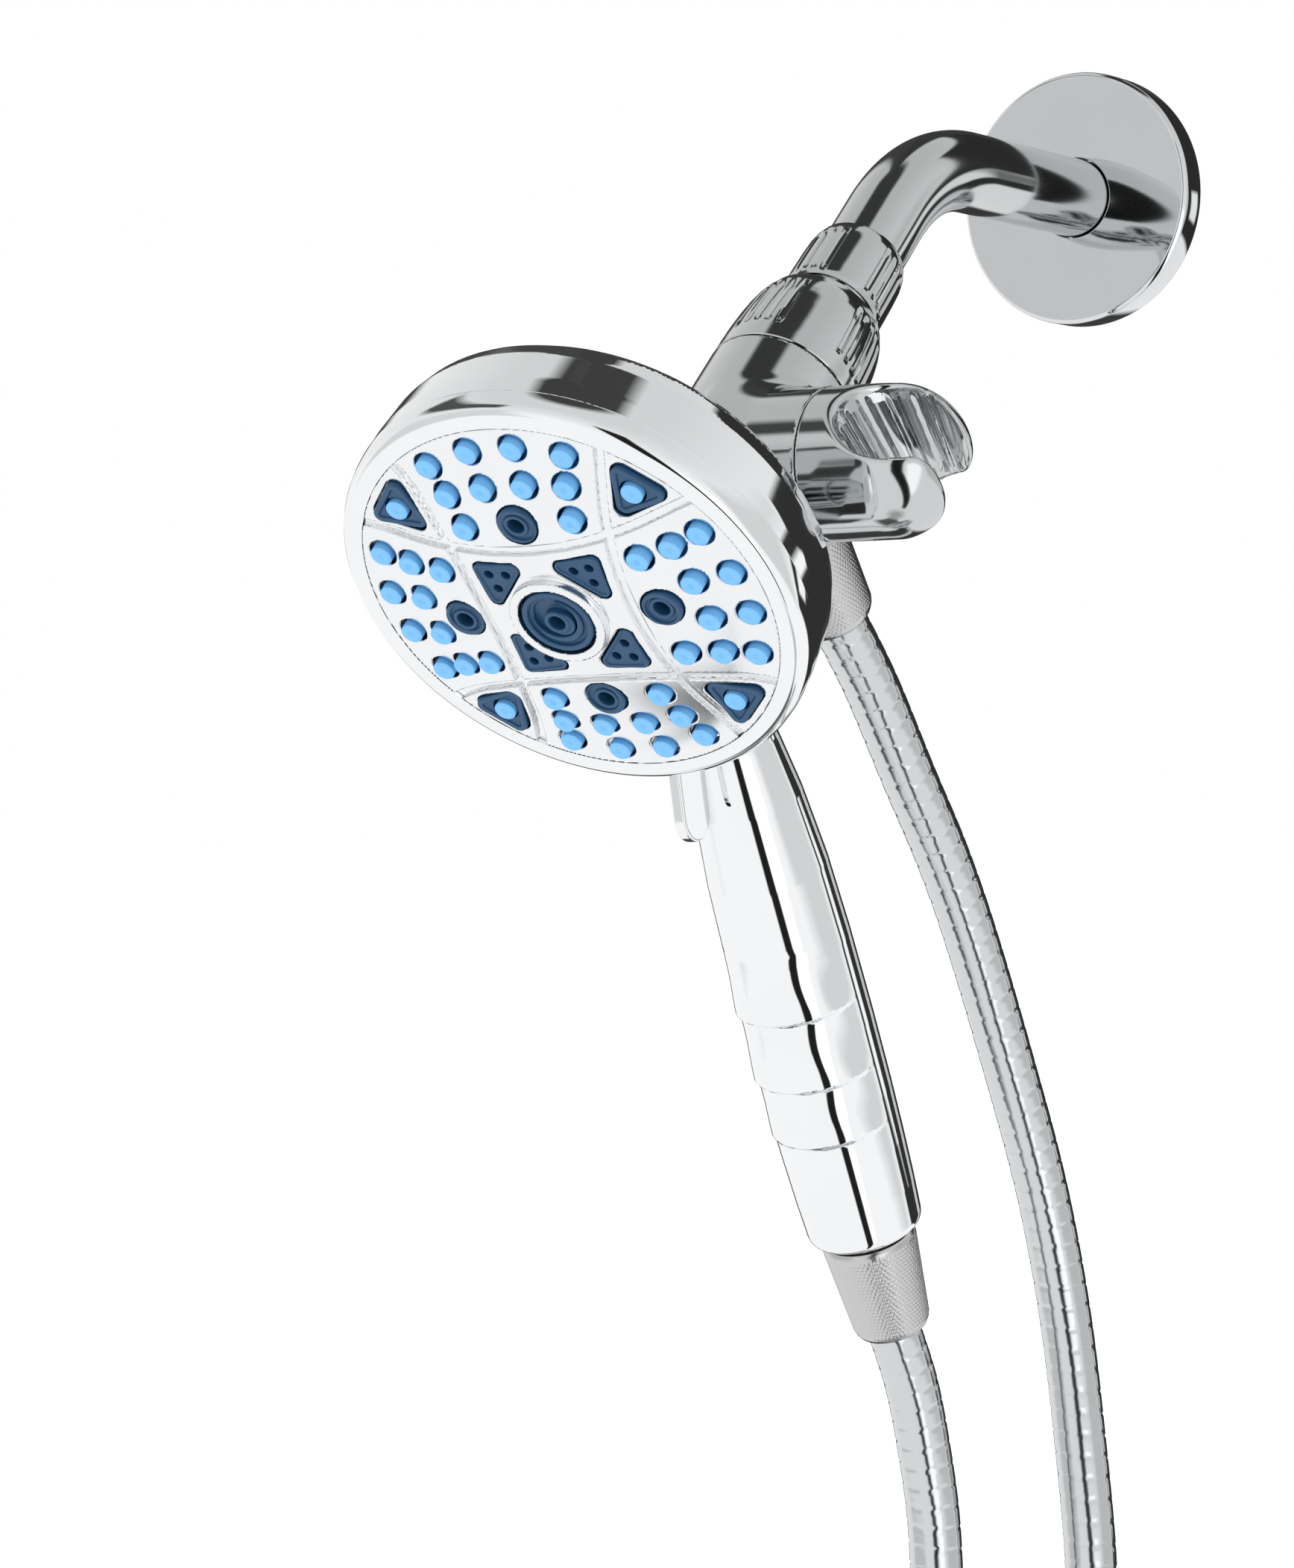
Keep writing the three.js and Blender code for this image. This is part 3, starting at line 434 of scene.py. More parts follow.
def tube_mesh(name, path, radii, material):
    """A closed tube along a path; radii(angles, distance) gives each ring's radii."""
    tangent = np.gradient(path, axis=0)
    tangent /= np.linalg.norm(tangent, axis=1)[:, None]
    side = np.cross(tangent[0], (1, 0, 0))
    side /= np.linalg.norm(side)
    rings = []
    a = np.linspace(0, 2 * math.pi, HOSE_SIDES, endpoint=False)
    run = run_length(path)
    for i, p in enumerate(path):
        side = side - tangent[i] * np.dot(side, tangent[i])
        side /= np.linalg.norm(side)
        other = np.cross(tangent[i], side)
        r = radii(a, run[i])
        rings.append(p + r[:, None] * (np.cos(a)[:, None] * side + np.sin(a)[:, None] * other))
    verts = np.concatenate(rings + [path[:1], path[-1:]])
    n, m = len(path), HOSE_SIDES
    faces = [tuple(f) for f in grid_faces(n, m)]
    faces += [(n * m, (j + 1) % m, j) for j in range(m)]
    faces += [(n * m + 1, (n - 1) * m + j, (n - 1) * m + (j + 1) % m) for j in range(m)]
    return make_object(name, verts, faces, WORLD, material, angle=50)


def hose_ribs(a, s):
    """A wound steel hose: smooth bands with a narrow slanting groove between them."""
    depth, width = 0.38, 0.05
    phase = ((s + a / (2 * math.pi) * WINDING) % WINDING) / WINDING
    return HOSE_R - depth * np.exp(-((phase - 0.5) / width) ** 2)


path, hose_length = spline(hose_route(), HOSE_STEP)
print("hose length", round(hose_length, 1), "mm")
hose = tube_mesh("hose", path, hose_ribs, HOSE)
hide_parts("hose_run_bracket", "hose_run_handset", "hose_coil")


# ---------------------------------------------------------------- arm and flange

TURN_Y = Matrix.Rotation(math.pi / 2, 4, "X")


def build_flange():
    r, depth = 34.6, 8.8
    bore = 10.97
    prof = [(bore, depth), (r - 1.0, depth), (r, depth - 1.0), (r, 0), (r - 3.4, 0), (r - 4.0, depth - 1.8),
            (bore + 2.2, depth - 1.8), (bore + 2.2, 2.0), (bore, 2.0), (bore, depth)]
    flange = lathe("flange", prof, TURN_Y, FLANGE, 160, bevel=0.35)
    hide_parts("wall_flange")
    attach(flange, "wall_arm")


def build_arm():
    """The pipe: rings along its outside, then back along its bore."""
    outside, bore, sides, straight, curved = 10.65, 8.0, 96, 20, 48
    line = [np.array((0.0, y, 0.0)) for y in np.linspace(14, -RUN, straight)]
    for i in range(1, curved + 1):
        a = BEND * i / curved
        line.append(np.array((0, -RUN - BEND_R * math.sin(a), -BEND_R * (1 - math.cos(a)))))
    line += [LEG_END + T_AXIS * s for s in (6, 12, 18, 26, 34)]
    line = np.array(line)
    n = len(line)
    tangent = np.gradient(line, axis=0)
    tangent[:straight] = (0, -1, 0)
    tangent /= np.linalg.norm(tangent, axis=1)[:, None]
    a = np.linspace(0, 2 * math.pi, sides, endpoint=False)
    x = np.array((1.0, 0, 0))
    rings = []
    for r, order in ((outside, range(n)), (bore, reversed(range(n)))):
        for i in order:
            y = np.cross(tangent[i], x)
            rings.append(line[i] + r * (np.cos(a)[:, None] * x + np.sin(a)[:, None] * y))
    faces = grid_faces(2 * n, sides, wrap_rows=True)[:, ::-1]
    arm = make_object("arm", np.concatenate(rings), faces, WORLD, CHROME_PAINTED_DARKER, angle=40)
    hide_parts("shower_arm")
    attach(arm, "wall_arm")


FLUTE_SIDES = (2, 92, 182, 272)  # degrees round the leg, the middle of each group


def flute_wave(r0, lo, hi, depth, pitch, count, half):
    """Radii with four groups of `count` shallow flutes, `half` mm to each side, cut between two heights."""
    fade_out, edge = 1.2, 0.35
    centres = [(side + (i - (count - 1) / 2) * pitch) * DEG for side in FLUTE_SIDES for i in range(count)]

    def wave(a, r, z):
        out = np.full(len(a), float(r))
        if r < r0 * 0.8 or z < lo or z > hi:
            return out
        fade = min(1, (z - lo) / fade_out, (hi - z) / fade_out)
        for c in centres:
            off = np.abs((a - c + math.pi) % (2 * math.pi) - math.pi) * r
            out -= depth * fade * np.clip((half - off) / edge + 0.5, 0, 1)
        return out
    return wave


def dense(profile):
    """A profile with points about 0.9 mm apart, so that flutes can start and end along it."""
    out = []
    for p, q in zip(profile, profile[1:]):
        n = max(1, int(math.dist(p, q) / 0.9))
        out += [(p[0] + (q[0] - p[0]) * i / n, p[1] + (q[1] - p[1]) * i / n) for i in range(n)]
    return out + [profile[-1]]


BALL_T = 50       # the ball's middle, down the leg
BALL_R = 16.2
SOCKET_R = 16.52  # inside of the nut round the ball


def ball_arc(r, lo, hi, steps):
    """Points of a circle round the ball's middle, from one height to another."""
    out = []
    for i in range(steps + 1):
        a = math.acos((lo - BALL_T) / r) * (1 - i / steps) + math.acos((hi - BALL_T) / r) * (i / steps)
        out.append((r * math.sin(a), BALL_T + r * math.cos(a)))
    return out


def build_ball_joint():
    neck, thread, hole = 12.2, 10.97, 5
    top = BALL_T - math.sqrt(BALL_R ** 2 - neck ** 2)
    bottom = BALL_T + math.sqrt(BALL_R ** 2 - hole ** 2)
    outer = [(thread, 16.5), (11.3, 16.4), (11.9, 16.9), (12.6, 19), (13.0, 21.5), (13.2, 26), (13.3, 32),
             (13.3, 37.0), (12.9, 38.2), (neck, 38.6), (neck, top)]
    prof = dense(outer) + ball_arc(BALL_R, top, bottom, 40)[1:] + [(hole, 34.3), (thread, 34.3), (thread, 16.5)]
    flutes = flute_wave(13.3, 20.5, 36.5, 0.55, 12, 4, 0.7)
    adapter = lathe("adapter", prof, LEG, CHROME_PAINTED_DARKER, 400, bevel=0, wave=flutes, angle=32)
    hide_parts("ball_adapter")
    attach(adapter, "wall_arm")

    mouth, end, inner = 41.8, 69.4, 17.3
    lip = math.sqrt(SOCKET_R ** 2 - (BALL_T - mouth) ** 2)
    outer = [(lip, mouth), (lip + 0.5, 41.5), (lip + 1.2, 41.9), (16.0, 43.2), (16.8, 45), (17.4, 47.2),
             (18.0, 50.5), (18.5, 55), (18.85, 60), (19.0, 65), (19.0, 69.1), (18.8, end)]
    prof = dense(outer) + [(inner, end), (inner, 54.5)] + ball_arc(SOCKET_R, BALL_T, mouth, 10)
    flutes = flute_wave(18.7, 45.5, 63.5, 0.75, 9.5, 5, 0.8)
    nut = lathe("nut", prof, LEG, CHROME_PAINTED_DARKER, 480, bevel=0, wave=flutes, angle=32)
    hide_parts("retaining_nut")
    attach(nut, "bracket")


def body_field(x, y, z):
    """A domed trunk down the leg, with the cradle's branch along x and the hose outlet along -y."""
    from_leg, from_branch, from_outlet = np.hypot(x, y), np.hypot(y, z - BRANCH_T), np.hypot(x, z - OUTLET_T)
    trunk = disc(from_leg, z, 19.1, 69.75, 119, 0.5)
    dome = np.hypot(from_leg, np.maximum(z - 96, 0)) - 24.5
    trunk = smax(trunk, dome, 4)
    branch = disc(from_branch, x, 18.7, 0, 29.4, 0.35)
    outlet = disc(from_outlet, -y, 12.2, 0, OUTLET_REACH, 0.5)
    outlet_thread = disc(from_outlet, -y, 10.0, 0, 37.3, 0.4)
    nut_thread = disc(from_leg, z, 16.9, 67, 72)
    d = smin(smin(trunk, branch, 4.5), outlet, 4)
    d = np.minimum(np.minimum(d, outlet_thread), nut_thread)
    d = np.maximum(d, -disc(from_outlet, -y, 6, 0, 45))
    return np.maximum(d, -disc(from_leg, z, 8.6, 60, 95))


def cradle_field(x, y, z):
    """x along the branch, y up the channel: a round-ended barrel with a ribbed channel across it."""
    middle, r, dome = 50.4, 18.6, 46.3
    barrel = np.sqrt(np.maximum(x - dome, 0) ** 2 + y * y + z * z) - r
    d = smax(barrel, 29.72 - x, 0.4)
    rad = np.hypot(x - middle, z)
    ang = np.arctan2(z, x - middle)
    # the ribs fade out before the barrel's skin and before the channel's mouth
    deep = np.clip((np.sqrt(np.maximum(r * r - z * z, 0)) - 2.8 - np.abs(y)) / 2.5, 0, 1)
    deep = deep * np.clip((middle + 6.5 - x) / 3, 0, 1)
    ribs = 0.5 * deep * np.clip(np.cos(ang * 15 + 2 * np.cos(ang * 2)) * 2.0 - 0.6, -1, 1)
    inner = 12.5 + 0.09 * (y - 13)
    d = smax(d, -(rad - inner - ribs * (rad < inner + 2)), 2.0)
    d = smax(d, -np.maximum(np.abs(z) - 7.4, middle - x), 3.2)
    return np.maximum(d, -disc(np.hypot(y, z), x, 3.1, 25, 34.7))


def build_bracket():
    body = surface("body", body_field, (-21, -40, 62), (33, 22, 122), 0.7, LEG, CHROME_PAINTED_DARKER)
    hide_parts("bracket_body")
    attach(body, "bracket")
    cradle = surface("cradle_arm", cradle_field, (28, -21, -21), (67, 21, 21), 0.42, CRADLE, CHROME_PAINTED_DARKER)
    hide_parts("cradle")
    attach(cradle, "cradle")


build_flange()
build_arm()
build_ball_joint()
build_bracket()


# ---------------------------------------------------------------- hose nuts

def knurl(a, r, z):
    """Small studs in rows, each row turned by half a stud."""
    bore, first, last, pitch, studs, high = 9.2, 2.4, 26.6, 1.05, 64, 0.11
    if r < bore or z < first or z > last:
        return np.full(len(a), float(r))
    row = z / pitch
    weave = np.cos(2 * math.pi * row) * 0.5 + 0.5 * np.cos(studs * a + math.pi * math.floor(row))
    return r + high * weave


def build_coupler(name, place, node, body):
    """A tapered hose nut, from its wide open end to the neck round the hose."""
    r, r_end, length, bore, neck, shoulder = 12.5, 10.3, NUT_LENGTH, 10.35, 7.9, 14.2
    outer = [(bore, 0), (r - 0.5, 0), (r, 0.6), (r, 2.2)]
    steps = 110
    outer += [(r + (r_end - r) * i / steps, 2.2 + (length - 4.8) * i / steps) for i in range(1, steps + 1)]
    outer += [(r_end - 0.25, length - 1.6), (r_end - 0.9, length - 0.5), (r_end - 1.6, length - 0.1),
              (neck + 0.3, length), (neck, length - 0.4), (neck, shoulder), (bore, shoulder), (bore, 0)]
    nut = lathe(name, outer, place, KNURL, 384, bevel=0, wave=knurl, angle=40)
    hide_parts(node)
    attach(nut, body)


build_coupler("wall_side_nut", COUPLER_WALL, "bracket_hose_nut", "bracket_nut")
build_coupler("handset_side_nut", COUPLER_DOWN, "handset_hose_nut", "handset_nut")


# ---------------------------------------------------------------- handset

def handle_radius(s):
    """The handle's radius at a distance s up from its lower end."""
    return np.interp(s, [0, 2, 12, 25, 40, 60, 84, 105, 125, 141, 156, 165, 175],
                     [14.9, 15.3, 15.8, 16.2, 16.5, 16.6, 16.4, 15.7, 14.0, 11.7, 11.2, 10.5, 8.5])


TEETH = [(88, 69, 1.25), (69, 49.5, 1.25), (49.5, 33, 0.8)]  # top and bottom up the handle, height


def grip_relief(s, front):
    """Three finger rests: each swells downwards and ends in a sharp step."""
    out = np.zeros(s.shape)
    for top, bottom, high in TEETH:
        u = np.clip((top - s) / (top - bottom), 0, 1)
        shape = -0.35 + (0.35 + high) * np.sin(u * math.pi / 2)
        gate = np.clip((top - s) / 1.4 + 0.5, 0, 1) * np.clip((s - bottom) / 1.0 + 0.5, 0, 1)
        reach = np.clip((front - (0.1 + 0.4 * (1 - u))) / 0.65, 0, 1)
        out = out + shape * gate * reach * reach * (3 - 2 * reach)
    return out


SEAM = -6.62  # where the shell meets the bezel
# Outlines of the head, as distance from its axis and height; the face is towards +z.
DISH = [(0, SEAM), (58.4, SEAM), (58.35, -12), (57.5, -21.5), (56.3, -25.6), (53.6, -28.8), (48, -31.6),
        (38, -34.4), (22, -37), (0, -38)]
HOLLOW = [(0, 2), (55.8, 2), (55.8, -12), (54.6, -21.5), (50.8, -26), (45.4, -28.8), (36, -31.6),
          (20, -34.2), (0, -35.4)]
TO_HANDLE = np.array((HEAD.inverted() @ HANDLE).inverted())
LEVER_ROOM = 16.8  # half the width that the mode lever sweeps at the shell's wall, 14 degrees each way


def shell_field(x, y, z):
    """The head's dish blended into the handle, hollow, with a slot for the mode lever."""
    hx, hy, hz = (row[0] * x + row[1] * y + row[2] * z + row[3] for row in TO_HANDLE[:3])
    rad = np.hypot(x, y)
    dish = polygon(rad, z, DISH)
    around = np.hypot(hx, hy)
    front = -hy / (around + 1e-6)
    side = around - handle_radius(hz) - grip_relief(hz, front)
    grip = smax(side, np.maximum(-hz, hz - 171), 1.2)
    d = smin(dish, grip, 7)
    d = np.maximum(d, -np.maximum(rad - 59.5, SEAM - z))
    d = np.maximum(d, -polygon(rad, z, HOLLOW))
    bore = disc(around, hz, 9.2, 18, 144)
    socket = disc(around, hz, 12.2, -3, 18.2)
    d = np.maximum(d, -np.minimum(bore, socket))
    slot = np.maximum(np.maximum(np.abs(x) - LEVER_ROOM, np.abs(y + 56) - 6), np.maximum(-18.4 - z, z + 5))
    return np.maximum(d, -slot)


def build_shell():
    shell = surface("shell", shell_field, (-61, -229, -46), (61, 61, 28), 0.8, HEAD, CHROME)
    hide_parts("handset_shell")
    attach(shell, "handset")


def slot_shade_field(x, y, z):
    """Painted shade of the short slot at the top of the handle: a dark patch just proud of the handle's skin."""
    middle, left, slant, half_width, half_height, corner = 136.5, 4.6, 0.12, 0.9, 1.6, 0.9
    skin = np.abs(np.hypot(x, y) - handle_radius(z)) - 0.12
    across = np.abs(x + left - slant * (z - middle)) - half_width
    along = np.abs(z - middle) - half_height
    outline = np.hypot(np.maximum(across, 0), np.maximum(along, 0)) - corner
    return np.maximum(smax(skin, outline, 0.1), y)


def build_slot_shade():
    mark = surface("painted_slot_shade", slot_shade_field, (-9, -14, 131), (1, -5, 142), 0.12, HANDLE, DARK)
    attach(mark, "handset")


def build_bezel():
    inner = 52.5
    prof = [(inner, -6.3), (inner, -0.42), (53.0, -0.34), (54.0, -0.22), (55.0, -0.14), (56.0, -0.2), (56.9, -0.6),
            (57.6, -1.5), (58.1, -2.8), (58.35, -4.4), (58.5, -5.6), (58.55, -6.75), (58.43, -6.8), (58.1, -6.3),
            (inner, -6.3)]
    bezel = lathe("bezel", prof, HEAD, CHROME, 288, bevel=0, angle=40)
    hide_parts("bezel_ring")
    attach(bezel, "handset")


FACE_CROWN = 5.6
FACE_DROP = 0.00279  # the face falls by this times the radius squared


def face_height(r):
    """The dome of the face, which levels out near its edge."""
    return max(FACE_CROWN - FACE_DROP * r * r, -0.35)


# One quarter of the jets; the last is the one in the corner triangle.
JETS = [(-18.4, 43.3), (-6.1, 46.6), (6.1, 46.6), (18.4, 43.3), (-16.2, 35.6), (-5.6, 37), (5.6, 37), (16.2, 35.6),
        (-14.6, 27), (14.6, 27), (32, 32)]
JET_POINTS = [(x * math.cos(q) - y * math.sin(q), x * math.sin(q) + y * math.cos(q))
              for q in (0, math.pi / 2, math.pi, 1.5 * math.pi) for x, y in JETS]
JET_R = 2.75
JET_RISE = 1.6
MIST_R = 27  # the small spray discs' distance from the middle
# The dark triangles, each with the radius of its corners.
CORNER, CORNER_ROUND = [(25.8, 25.8), (29.8, 40.4), (40.4, 29.8)], 2.2
INNER, INNER_ROUND = [(17.2, 17.2), (4.2, 15.6), (15.6, 4.2)], 1.8


def round_outline(u, v, pts, radius):
    """A corner-rounded triangle: the outline shrunk to its middle and grown back."""
    c = np.mean(pts, axis=0)
    inset = []
    for p in pts:
        d = np.array(p) - c
        inset.append(tuple(c + d * (1 - 1.55 * radius / np.linalg.norm(d))))
    return polygon(u, v, inset) - radius


def fold(x, y):
    """Turns every quarter of the face onto the one towards +y."""
    a = np.arctan2(x, y)
    k = np.round(a / (math.pi / 2))
    q = -k * (math.pi / 2)
    return x * np.cos(q) + y * np.sin(q), -x * np.sin(q) + y * np.cos(q)


def face_field(x, y, z):
    """The plate with its middle boss, its windows, and the bowed grooves between the quarters."""
    r = np.hypot(x, y)
    top = smax(FACE_CROWN - FACE_DROP * r * r, -0.4, 1.2)
    plate = np.maximum(np.maximum(z - top, top - 3 - z), r - 52.42)
    boss = np.maximum(np.maximum(np.abs(r - 10.9) - 1.15, z - top - 1.9), 2 - z)
    plate = smin(plate, boss, 0.5)
    u, v = fold(x, y)
    across = np.abs(u)
    # the triangles lie on the diagonals, so they are the same when x and y are swapped
    du, dv = np.maximum(np.abs(x), np.abs(y)), np.minimum(np.abs(x), np.abs(y))
    holes = r - 9.4
    for px, py in JETS[:10]:
        if px > 0:
            holes = np.minimum(holes, np.hypot(across - px, v - py) - 3.6)
    holes = np.minimum(holes, np.hypot(u, v - MIST_R) - 5.25)
    holes = np.minimum(holes, round_outline(du, dv, CORNER, CORNER_ROUND) - 0.35)
    holes = np.minimum(holes, round_outline(du, dv, INNER, INNER_ROUND) - 0.35)
    d = smax(plate, -holes, 0.35)
    bow, nearest, half, deep = 128.0, 20, 1.15, 1.0
    groove = np.abs(np.hypot(u, v - nearest - bow) - bow) - half
    other = np.abs(np.hypot(v, across - nearest - bow) - bow) - half
    strip = np.maximum(np.minimum(groove, other), 14 - r)
    return smax(d, -np.maximum(strip, top - deep - z), 0.25)


def build_face():
    face = surface("face", face_field, (-53.2, -53.2, -6.2), (53.2, 53.2, 8.6), 0.42, HEAD, FACE)
    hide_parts("face_plate")
    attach(face, "handset")


def build_jets():
    """All the soft jets with the mat they grow from."""
    # radius and share of the height; the last point is the middle of the spray hole
    prof = [(JET_R, 0), (JET_R, 0.7), (2.7, 0.93), (2.45, 1.0), (1.0, 1.0), (0.8, 0.985), (0.6, 0.93), (0.0, 0.9)]
    foot, mat_r, mat_low, mat_high = -6.6, 49.5, -8.0, -6.45
    a = np.linspace(0, 2 * math.pi, 28, endpoint=False)
    n, m = len(a), 64
    verts, faces = [], []
    for x, y in JET_POINTS:
        end = face_height(math.hypot(x, y)) + JET_RISE
        base = len(verts)
        for r, k in prof:
            z = foot + (end - foot) * (k if k < 0.9 else 1 - (1 - k) * 0.35)
            if r == 0:
                verts.append((x, y, z))
            else:
                verts += [(x + r * math.cos(t), y + r * math.sin(t), z) for t in a]
        last = len(prof) - 2
        faces += [tuple(f) for f in base + grid_faces(last + 1, n)]
        faces += [(base + last * n + j, base + last * n + (j + 1) % n, base + (last + 1) * n) for j in range(n)]
    base = len(verts)
    for z in (mat_low, mat_high):
        verts += [(mat_r * math.cos(2 * math.pi * j / m), mat_r * math.sin(2 * math.pi * j / m), z) for j in range(m)]
    faces += [tuple(f) for f in base + grid_faces(2, m)]
    verts += [(0, 0, mat_low), (0, 0, mat_high)]
    faces += [(base + 2 * m, base + (j + 1) % m, base + j) for j in range(m)]
    faces += [(base + 2 * m + 1, base + m + j, base + m + (j + 1) % m) for j in range(m)]
    jets = make_object("jets", verts, faces, HEAD, JET, angle=40)
    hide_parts("nozzle_mat")
    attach(jets, "handset")


def corner_field(x, y, z):
    """The large dark triangle, with a shallow pocket and a hole for its jet."""
    jet_x, jet_y = JETS[-1]
    top = face_height(43.5) + 0.5
    edge = round_outline(x, y, CORNER, CORNER_ROUND)
    d = smax(edge, np.maximum(z - top, top - 7 - z), 0.5)
    pocket = np.maximum(edge + 1.5, top - 0.5 - z)
    d = smax(d, -pocket, 0.4)
    return np.maximum(d, -(np.hypot(x - jet_x, y - jet_y) - 3.3))


def inner_field(x, y, z):
    """The small dark triangle, with three spray holes."""
    top = face_height(20) + 0.35
    edge = round_outline(x, y, INNER, INNER_ROUND)
    d = smax(edge, np.maximum(z - top, top - 9 - z), 0.5)
    pocket = np.maximum(edge + 0.9, top - 0.4 - z)
    d = smax(d, -pocket, 0.3)
    for px, py in ((13.7, 13.7), (9.3, 13.1), (13.1, 9.3)):
        d = smax(d, -(np.maximum(np.hypot(x - px, y - py) - 1.15, top - 3 - z)), 0.3)
    return d


def mist_field(x, y, z):
    """A small dark spray disc: a recess, a raised button in it, and a hole, each a little off the middle."""
    top = face_height(MIST_R) + 0.5
    r = np.hypot(x, y)
    d = disc(r, z, 4.95, top - 9, top, 0.35)
    d = smax(d, -np.maximum(np.hypot(x - 0.4, y + 0.3) - 3.9, top - 0.7 - z), 0.4)
    inner = disc(np.hypot(x + 0.2, y - 0.1), z, 3.1, top - 4, top - 0.1, 0.3)
    d = smin(d, inner, 0.2)
    return smax(d, -np.maximum(np.hypot(x + 0.2, y - 0.1) - 2.1, top - 6 - z), 0.3)


def centre_field(x, y, z):
    """The middle jet: a recessed disc with a step, a crescent cut into it, and a rim round its hole."""
    top = face_height(0) + 1.3
    r = np.hypot(x, y)
    d = disc(r, z, 9.05, top - 7, top, 0.5)
    d = smax(d, -np.maximum(r - 7.5, top - 1.0 - z), 0.5)
    step = disc(r, z, 6.4, top - 6, top - 0.2, 0.5)
    d = smin(d, step, 0.3)
    crescent = np.maximum(np.hypot(x + 0.5, y - 0.8) - 5.6, 3.5 - np.hypot(x - 0.6, y + 0.7))
    d = smax(d, -np.maximum(crescent, top - 1.9 - z), 0.4)
    rim = disc(r, z, 3.3, top - 5, top + 0.3, 0.5)
    d = smin(d, rim, 0.3)
    return smax(d, -np.maximum(r - 2.1, top - 6 - z), 0.4)


def build_inserts():
    """The dark blue pieces of one quarter, their turned copies, and the middle jet."""
    mist_place = HEAD @ Matrix.Translation((0, MIST_R, 0))
    parts = [
        surface("corner", corner_field, (23, 23, -8), (44, 44, 4), 0.26, HEAD, BLUE),
        surface("inner", inner_field, (2, 2, -7), (19, 19, 7), 0.24, HEAD, BLUE),
        surface("mist", mist_field, (-6, -6, -8), (6, 6, 6), 0.26, mist_place, BLUE),
    ]
    for part in list(parts):
        for turn in (90, 180, 270):
            copy = part.copy()
            spin = Matrix.Rotation(turn * DEG, 4, "Z")
            copy.matrix_world = Matrix.Scale(MM, 4) @ HEAD @ spin @ HEAD.inverted() @ Matrix.Scale(1 / MM, 4)
            copy.name = f"{part.name}_{turn}"
            bpy.context.scene.collection.objects.link(copy)
            parts.append(copy)
    for part in parts:
        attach(part, "handset")
    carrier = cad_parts["jet_insert"]
    carrier.data.materials.clear()
    carrier.data.materials.append(BLUE)
    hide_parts("jet_insert")
    middle = surface("middle_jet", centre_field, (-10, -10, -2), (10, 10, 8.5), 0.24, HEAD, BLUE)
    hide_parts("centre_jet")
    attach(middle, "handset")


def lever_field(x, y, z):
    """A flat tongue in the plane x = 0; e is the distance below the head's middle."""
    e = -y
    lean, root, tip, half = 33 * DEG, 57.6, 76, 6.5
    px, pz = e - root, z + 7.6
    along = px * math.cos(lean) + pz * math.sin(lean)
    across = px * math.sin(lean) - pz * math.cos(lean)
    straight = (tip - root) / math.cos(lean) - half
    blade = np.maximum(np.abs(across - half) - half, -8 - along)
    blade = np.where(along > straight, np.hypot(across - half, along - straight) - half, blade)
    shank = np.maximum(np.maximum(-17.6 - z, z + 15.0), np.maximum(30 - e, e - 60))
    web = polygon(e, z, [(48, -15), (56, -7.9), (58.5, -8.5), (62, -16), (56, -17.6), (48, -17.6)])
    outline = np.minimum(np.minimum(blade, shank), web)
    return smax(outline, np.abs(x) - 1.6, 0.7)


def build_lever():
    lever = surface("lever", lever_field, (-3, -80, -22), (3, -28, 8), 0.3, HEAD, CHROME)
    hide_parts("mode_lever")
    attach(lever, "selector")


build_shell()
build_slot_shade()
build_bezel()
build_face()
build_jets()
build_inserts()
build_lever()


# ---------------------------------------------------------------- tie and hose weights

def build_tie():
    """A strap round the lowest part of the coil."""
    deep = (COIL["near"] - COIL_FAR) / 2 + HOSE_R + 0.6
    mid = (COIL["near"] + COIL_FAR) / 2
    low, high = COIL["z"] - COIL["r"] - HOSE_R - 0.9, COIL["z"] - COIL["r"] + HOSE_R + 0.9

    def field(x, y, z):
        u = np.abs(y - mid) - deep
        v = np.maximum(low - z, z - high)
        box = np.hypot(np.maximum(u, 0), np.maximum(v, 0)) + np.minimum(np.maximum(u, v), 0)
        return smax(np.abs(box - 0.8) - 0.8, np.abs(x) - 4.5, 0.5)

    tie = surface("tie", field, (-6, mid - deep - 3, low - 3), (6, mid + deep + 3, high + 3), 0.6, WORLD, DARK)
    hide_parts("coil_tie")
    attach(tie, "bracket")
    return tie


tie = build_tie()
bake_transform(hose)


def bend_weights():
    """Weights for the hose's last part, growing towards its end; they are computed and not used."""
    run = run_length(path)
    t = np.clip(1 - (run[-1] - run) / FOLLOW, 0, 1)
    t = t * t * (3 - 2 * t)


bend_weights()


# ---------------------------------------------------------------- studio

def build_stage():
    """A wide pale floor just under the coil; reflections don't see it."""
    me = bpy.data.meshes.new("floor")
    half, z = 30.0, -0.62
    me.from_pydata([(-half, -half, z), (half, -half, z), (half, half, z), (-half, half, z)], [], [(0, 1, 2, 3)])
    floor = bpy.data.objects.new("floor", me)
    bpy.context.scene.collection.objects.link(floor)
    m = bpy.data.materials.new("floor")
    m.use_nodes = True
    b = m.node_tree.nodes["Principled BSDF"]
    b.inputs["Base Color"].default_value = (0.95, 0.95, 0.95, 1)
    b.inputs["Roughness"].default_value = 1.0
    b.inputs["Specular IOR Level"].default_value = 0.0
    b.inputs["Emission Color"].default_value = (1, 1, 1, 1)
    b.inputs["Emission Strength"].default_value = 0.35
    me.materials.append(m)
    floor.visible_glossy = False


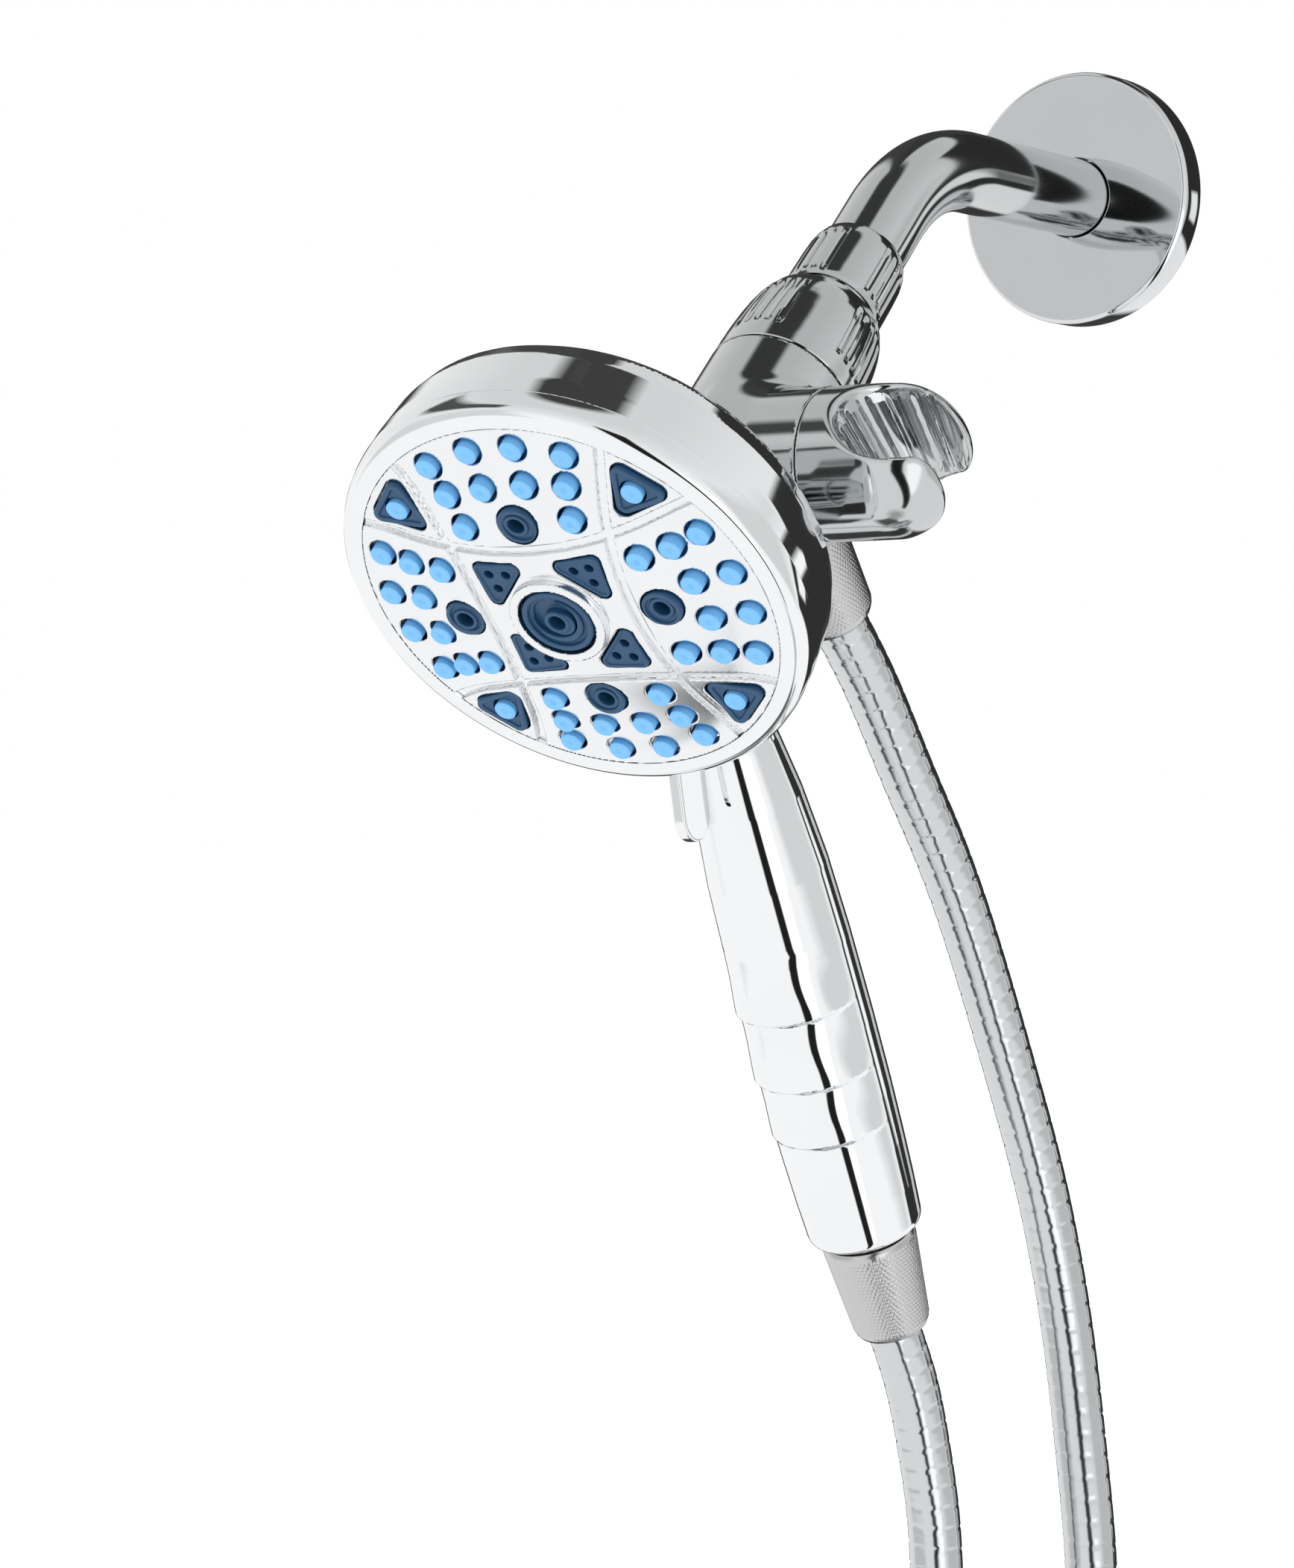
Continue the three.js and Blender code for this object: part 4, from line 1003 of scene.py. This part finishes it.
# The studio that the chrome reflects: azimuth range, elevation range, softness (degrees) and level of each panel.
# Azimuth 0 is behind the camera at rest and grows to its right. Each panel covers the ones before it.
ENVIRONMENT = [
    ((50, 105), (-20, 24), 10, 0.7),
    ((-110, -50), (-25, 24), 10, 0.72),
    ((-180, 180), (74, 95), 5, 0.05),
    ((-180, 180), (-95, -82), 8, 0.5),
    ((-185, -138), (-82, -62), 8, 0.12),
    ((168, 185), (-82, -66), 8, 0.12),
    ((-128, -60), (36, 50), 5, 0.08),
    ((110, 165), (-14, 46), 2, 0.03),
    ((115, 124), (-5, 7), 2, 1.0),
    ((162, 185), (-60, 95), 5, 0.05),
    ((-185, -164), (-60, 95), 6, 0.06),
    ((13, 36), (-52, -6), 6, 1.5),
]


def build_world():
    """White light for everything but reflections, which see the panels instead; both stay fixed in the world."""
    world = bpy.data.worlds.new("studio")
    bpy.context.scene.world = world
    world.use_nodes = True
    nt = world.node_tree
    nodes, links = nt.nodes, nt.links
    bg = nodes["Background"]
    coords = nodes.new("ShaderNodeTexCoord")

    def math_node(op, *values, clamp=False):
        """The output of a math node, each value a number or another node's output."""
        n = nodes.new("ShaderNodeMath")
        n.operation = op
        n.use_clamp = clamp
        for i, v in enumerate(values):
            if isinstance(v, (int, float)):
                n.inputs[i].default_value = v
            else:
                links.new(v, n.inputs[i])
        return n.outputs[0]

    def dot(vec):
        n = nodes.new("ShaderNodeVectorMath")
        n.operation = "DOT_PRODUCT"
        links.new(coords.outputs["Generated"], n.inputs[0])
        n.inputs[1].default_value = vec
        return n.outputs["Value"]

    front = dot((0.5727, -0.8198, 0))
    right = dot((0.8198, 0.5727, 0))
    up = dot((0, 0, 1))
    azimuth = math_node("ARCTAN2", right, front)
    elevation = math_node("ARCSINE", up)

    def band(value, lo, hi, soft):
        """1 between lo and hi degrees, fading over soft degrees."""
        a = math_node("MULTIPLY", math_node("SUBTRACT", value, (lo - soft / 2) * DEG), 1 / (soft * DEG), clamp=True)
        b = math_node("MULTIPLY", math_node("SUBTRACT", (hi + soft / 2) * DEG, value), 1 / (soft * DEG), clamp=True)
        return math_node("MULTIPLY", a, b)

    def patch(az, el, soft):
        return math_node("MULTIPLY", band(azimuth, az[0], az[1], soft), band(elevation, el[0], el[1], soft))

    height = math_node("MULTIPLY", math_node("ADD", elevation, 5 * DEG), 1 / (65 * DEG), clamp=True)
    level = math_node("SUBTRACT", 1.0, math_node("MULTIPLY", height, 0.3))
    # the dark strip that the camera's side of the studio shows, slanting to the right below -20 degrees
    below = math_node("MAXIMUM", math_node("SUBTRACT", -20 * DEG, elevation), 0.0)
    slanted = math_node("SUBTRACT", azimuth, math_node("MULTIPLY", below, 0.66))
    strip = math_node("MULTIPLY", band(slanted, -11, 7, 3), band(elevation, -76, 32, 3))
    covers = [(patch(az, el, soft), value) for az, el, soft, value in ENVIRONMENT] + [(strip, 0.015)]
    for cover, value in covers:
        # level = level + (value - level) * cover
        diff = math_node("SUBTRACT", value, level)
        level = math_node("ADD", level, math_node("MULTIPLY", diff, cover))
    glossy = nodes.new("ShaderNodeLightPath").outputs["Is Glossy Ray"]
    mixed = math_node("ADD", math_node("MULTIPLY", level, glossy), math_node("SUBTRACT", 1.0, glossy))
    links.new(mixed, bg.inputs["Strength"])
    bg.inputs["Color"].default_value = (1, 1, 1, 1)


def build_lights():
    """A large soft key from the upper left and a weaker fill from the right."""
    for name, at, size, power in (("key", (-0.9, -1.5, 1.1), 1.2, 6.0), ("fill", (1.6, -0.6, 0.4), 1.0, 2.5)):
        data = bpy.data.lights.new(name, "AREA")
        data.size = size
        data.energy = power
        lamp = bpy.data.objects.new(name, data)
        lamp.location = at
        lamp.rotation_euler = (Vector((0, -0.15, -0.15)) - Vector(at)).to_track_quat("-Z", "Y").to_euler()
        lamp.visible_glossy = False
        bpy.context.scene.collection.objects.link(lamp)


build_lights()
build_stage()
build_world()
bpy.context.scene.view_settings.view_transform = "Standard"
bpy.context.scene.view_settings.look = "None"
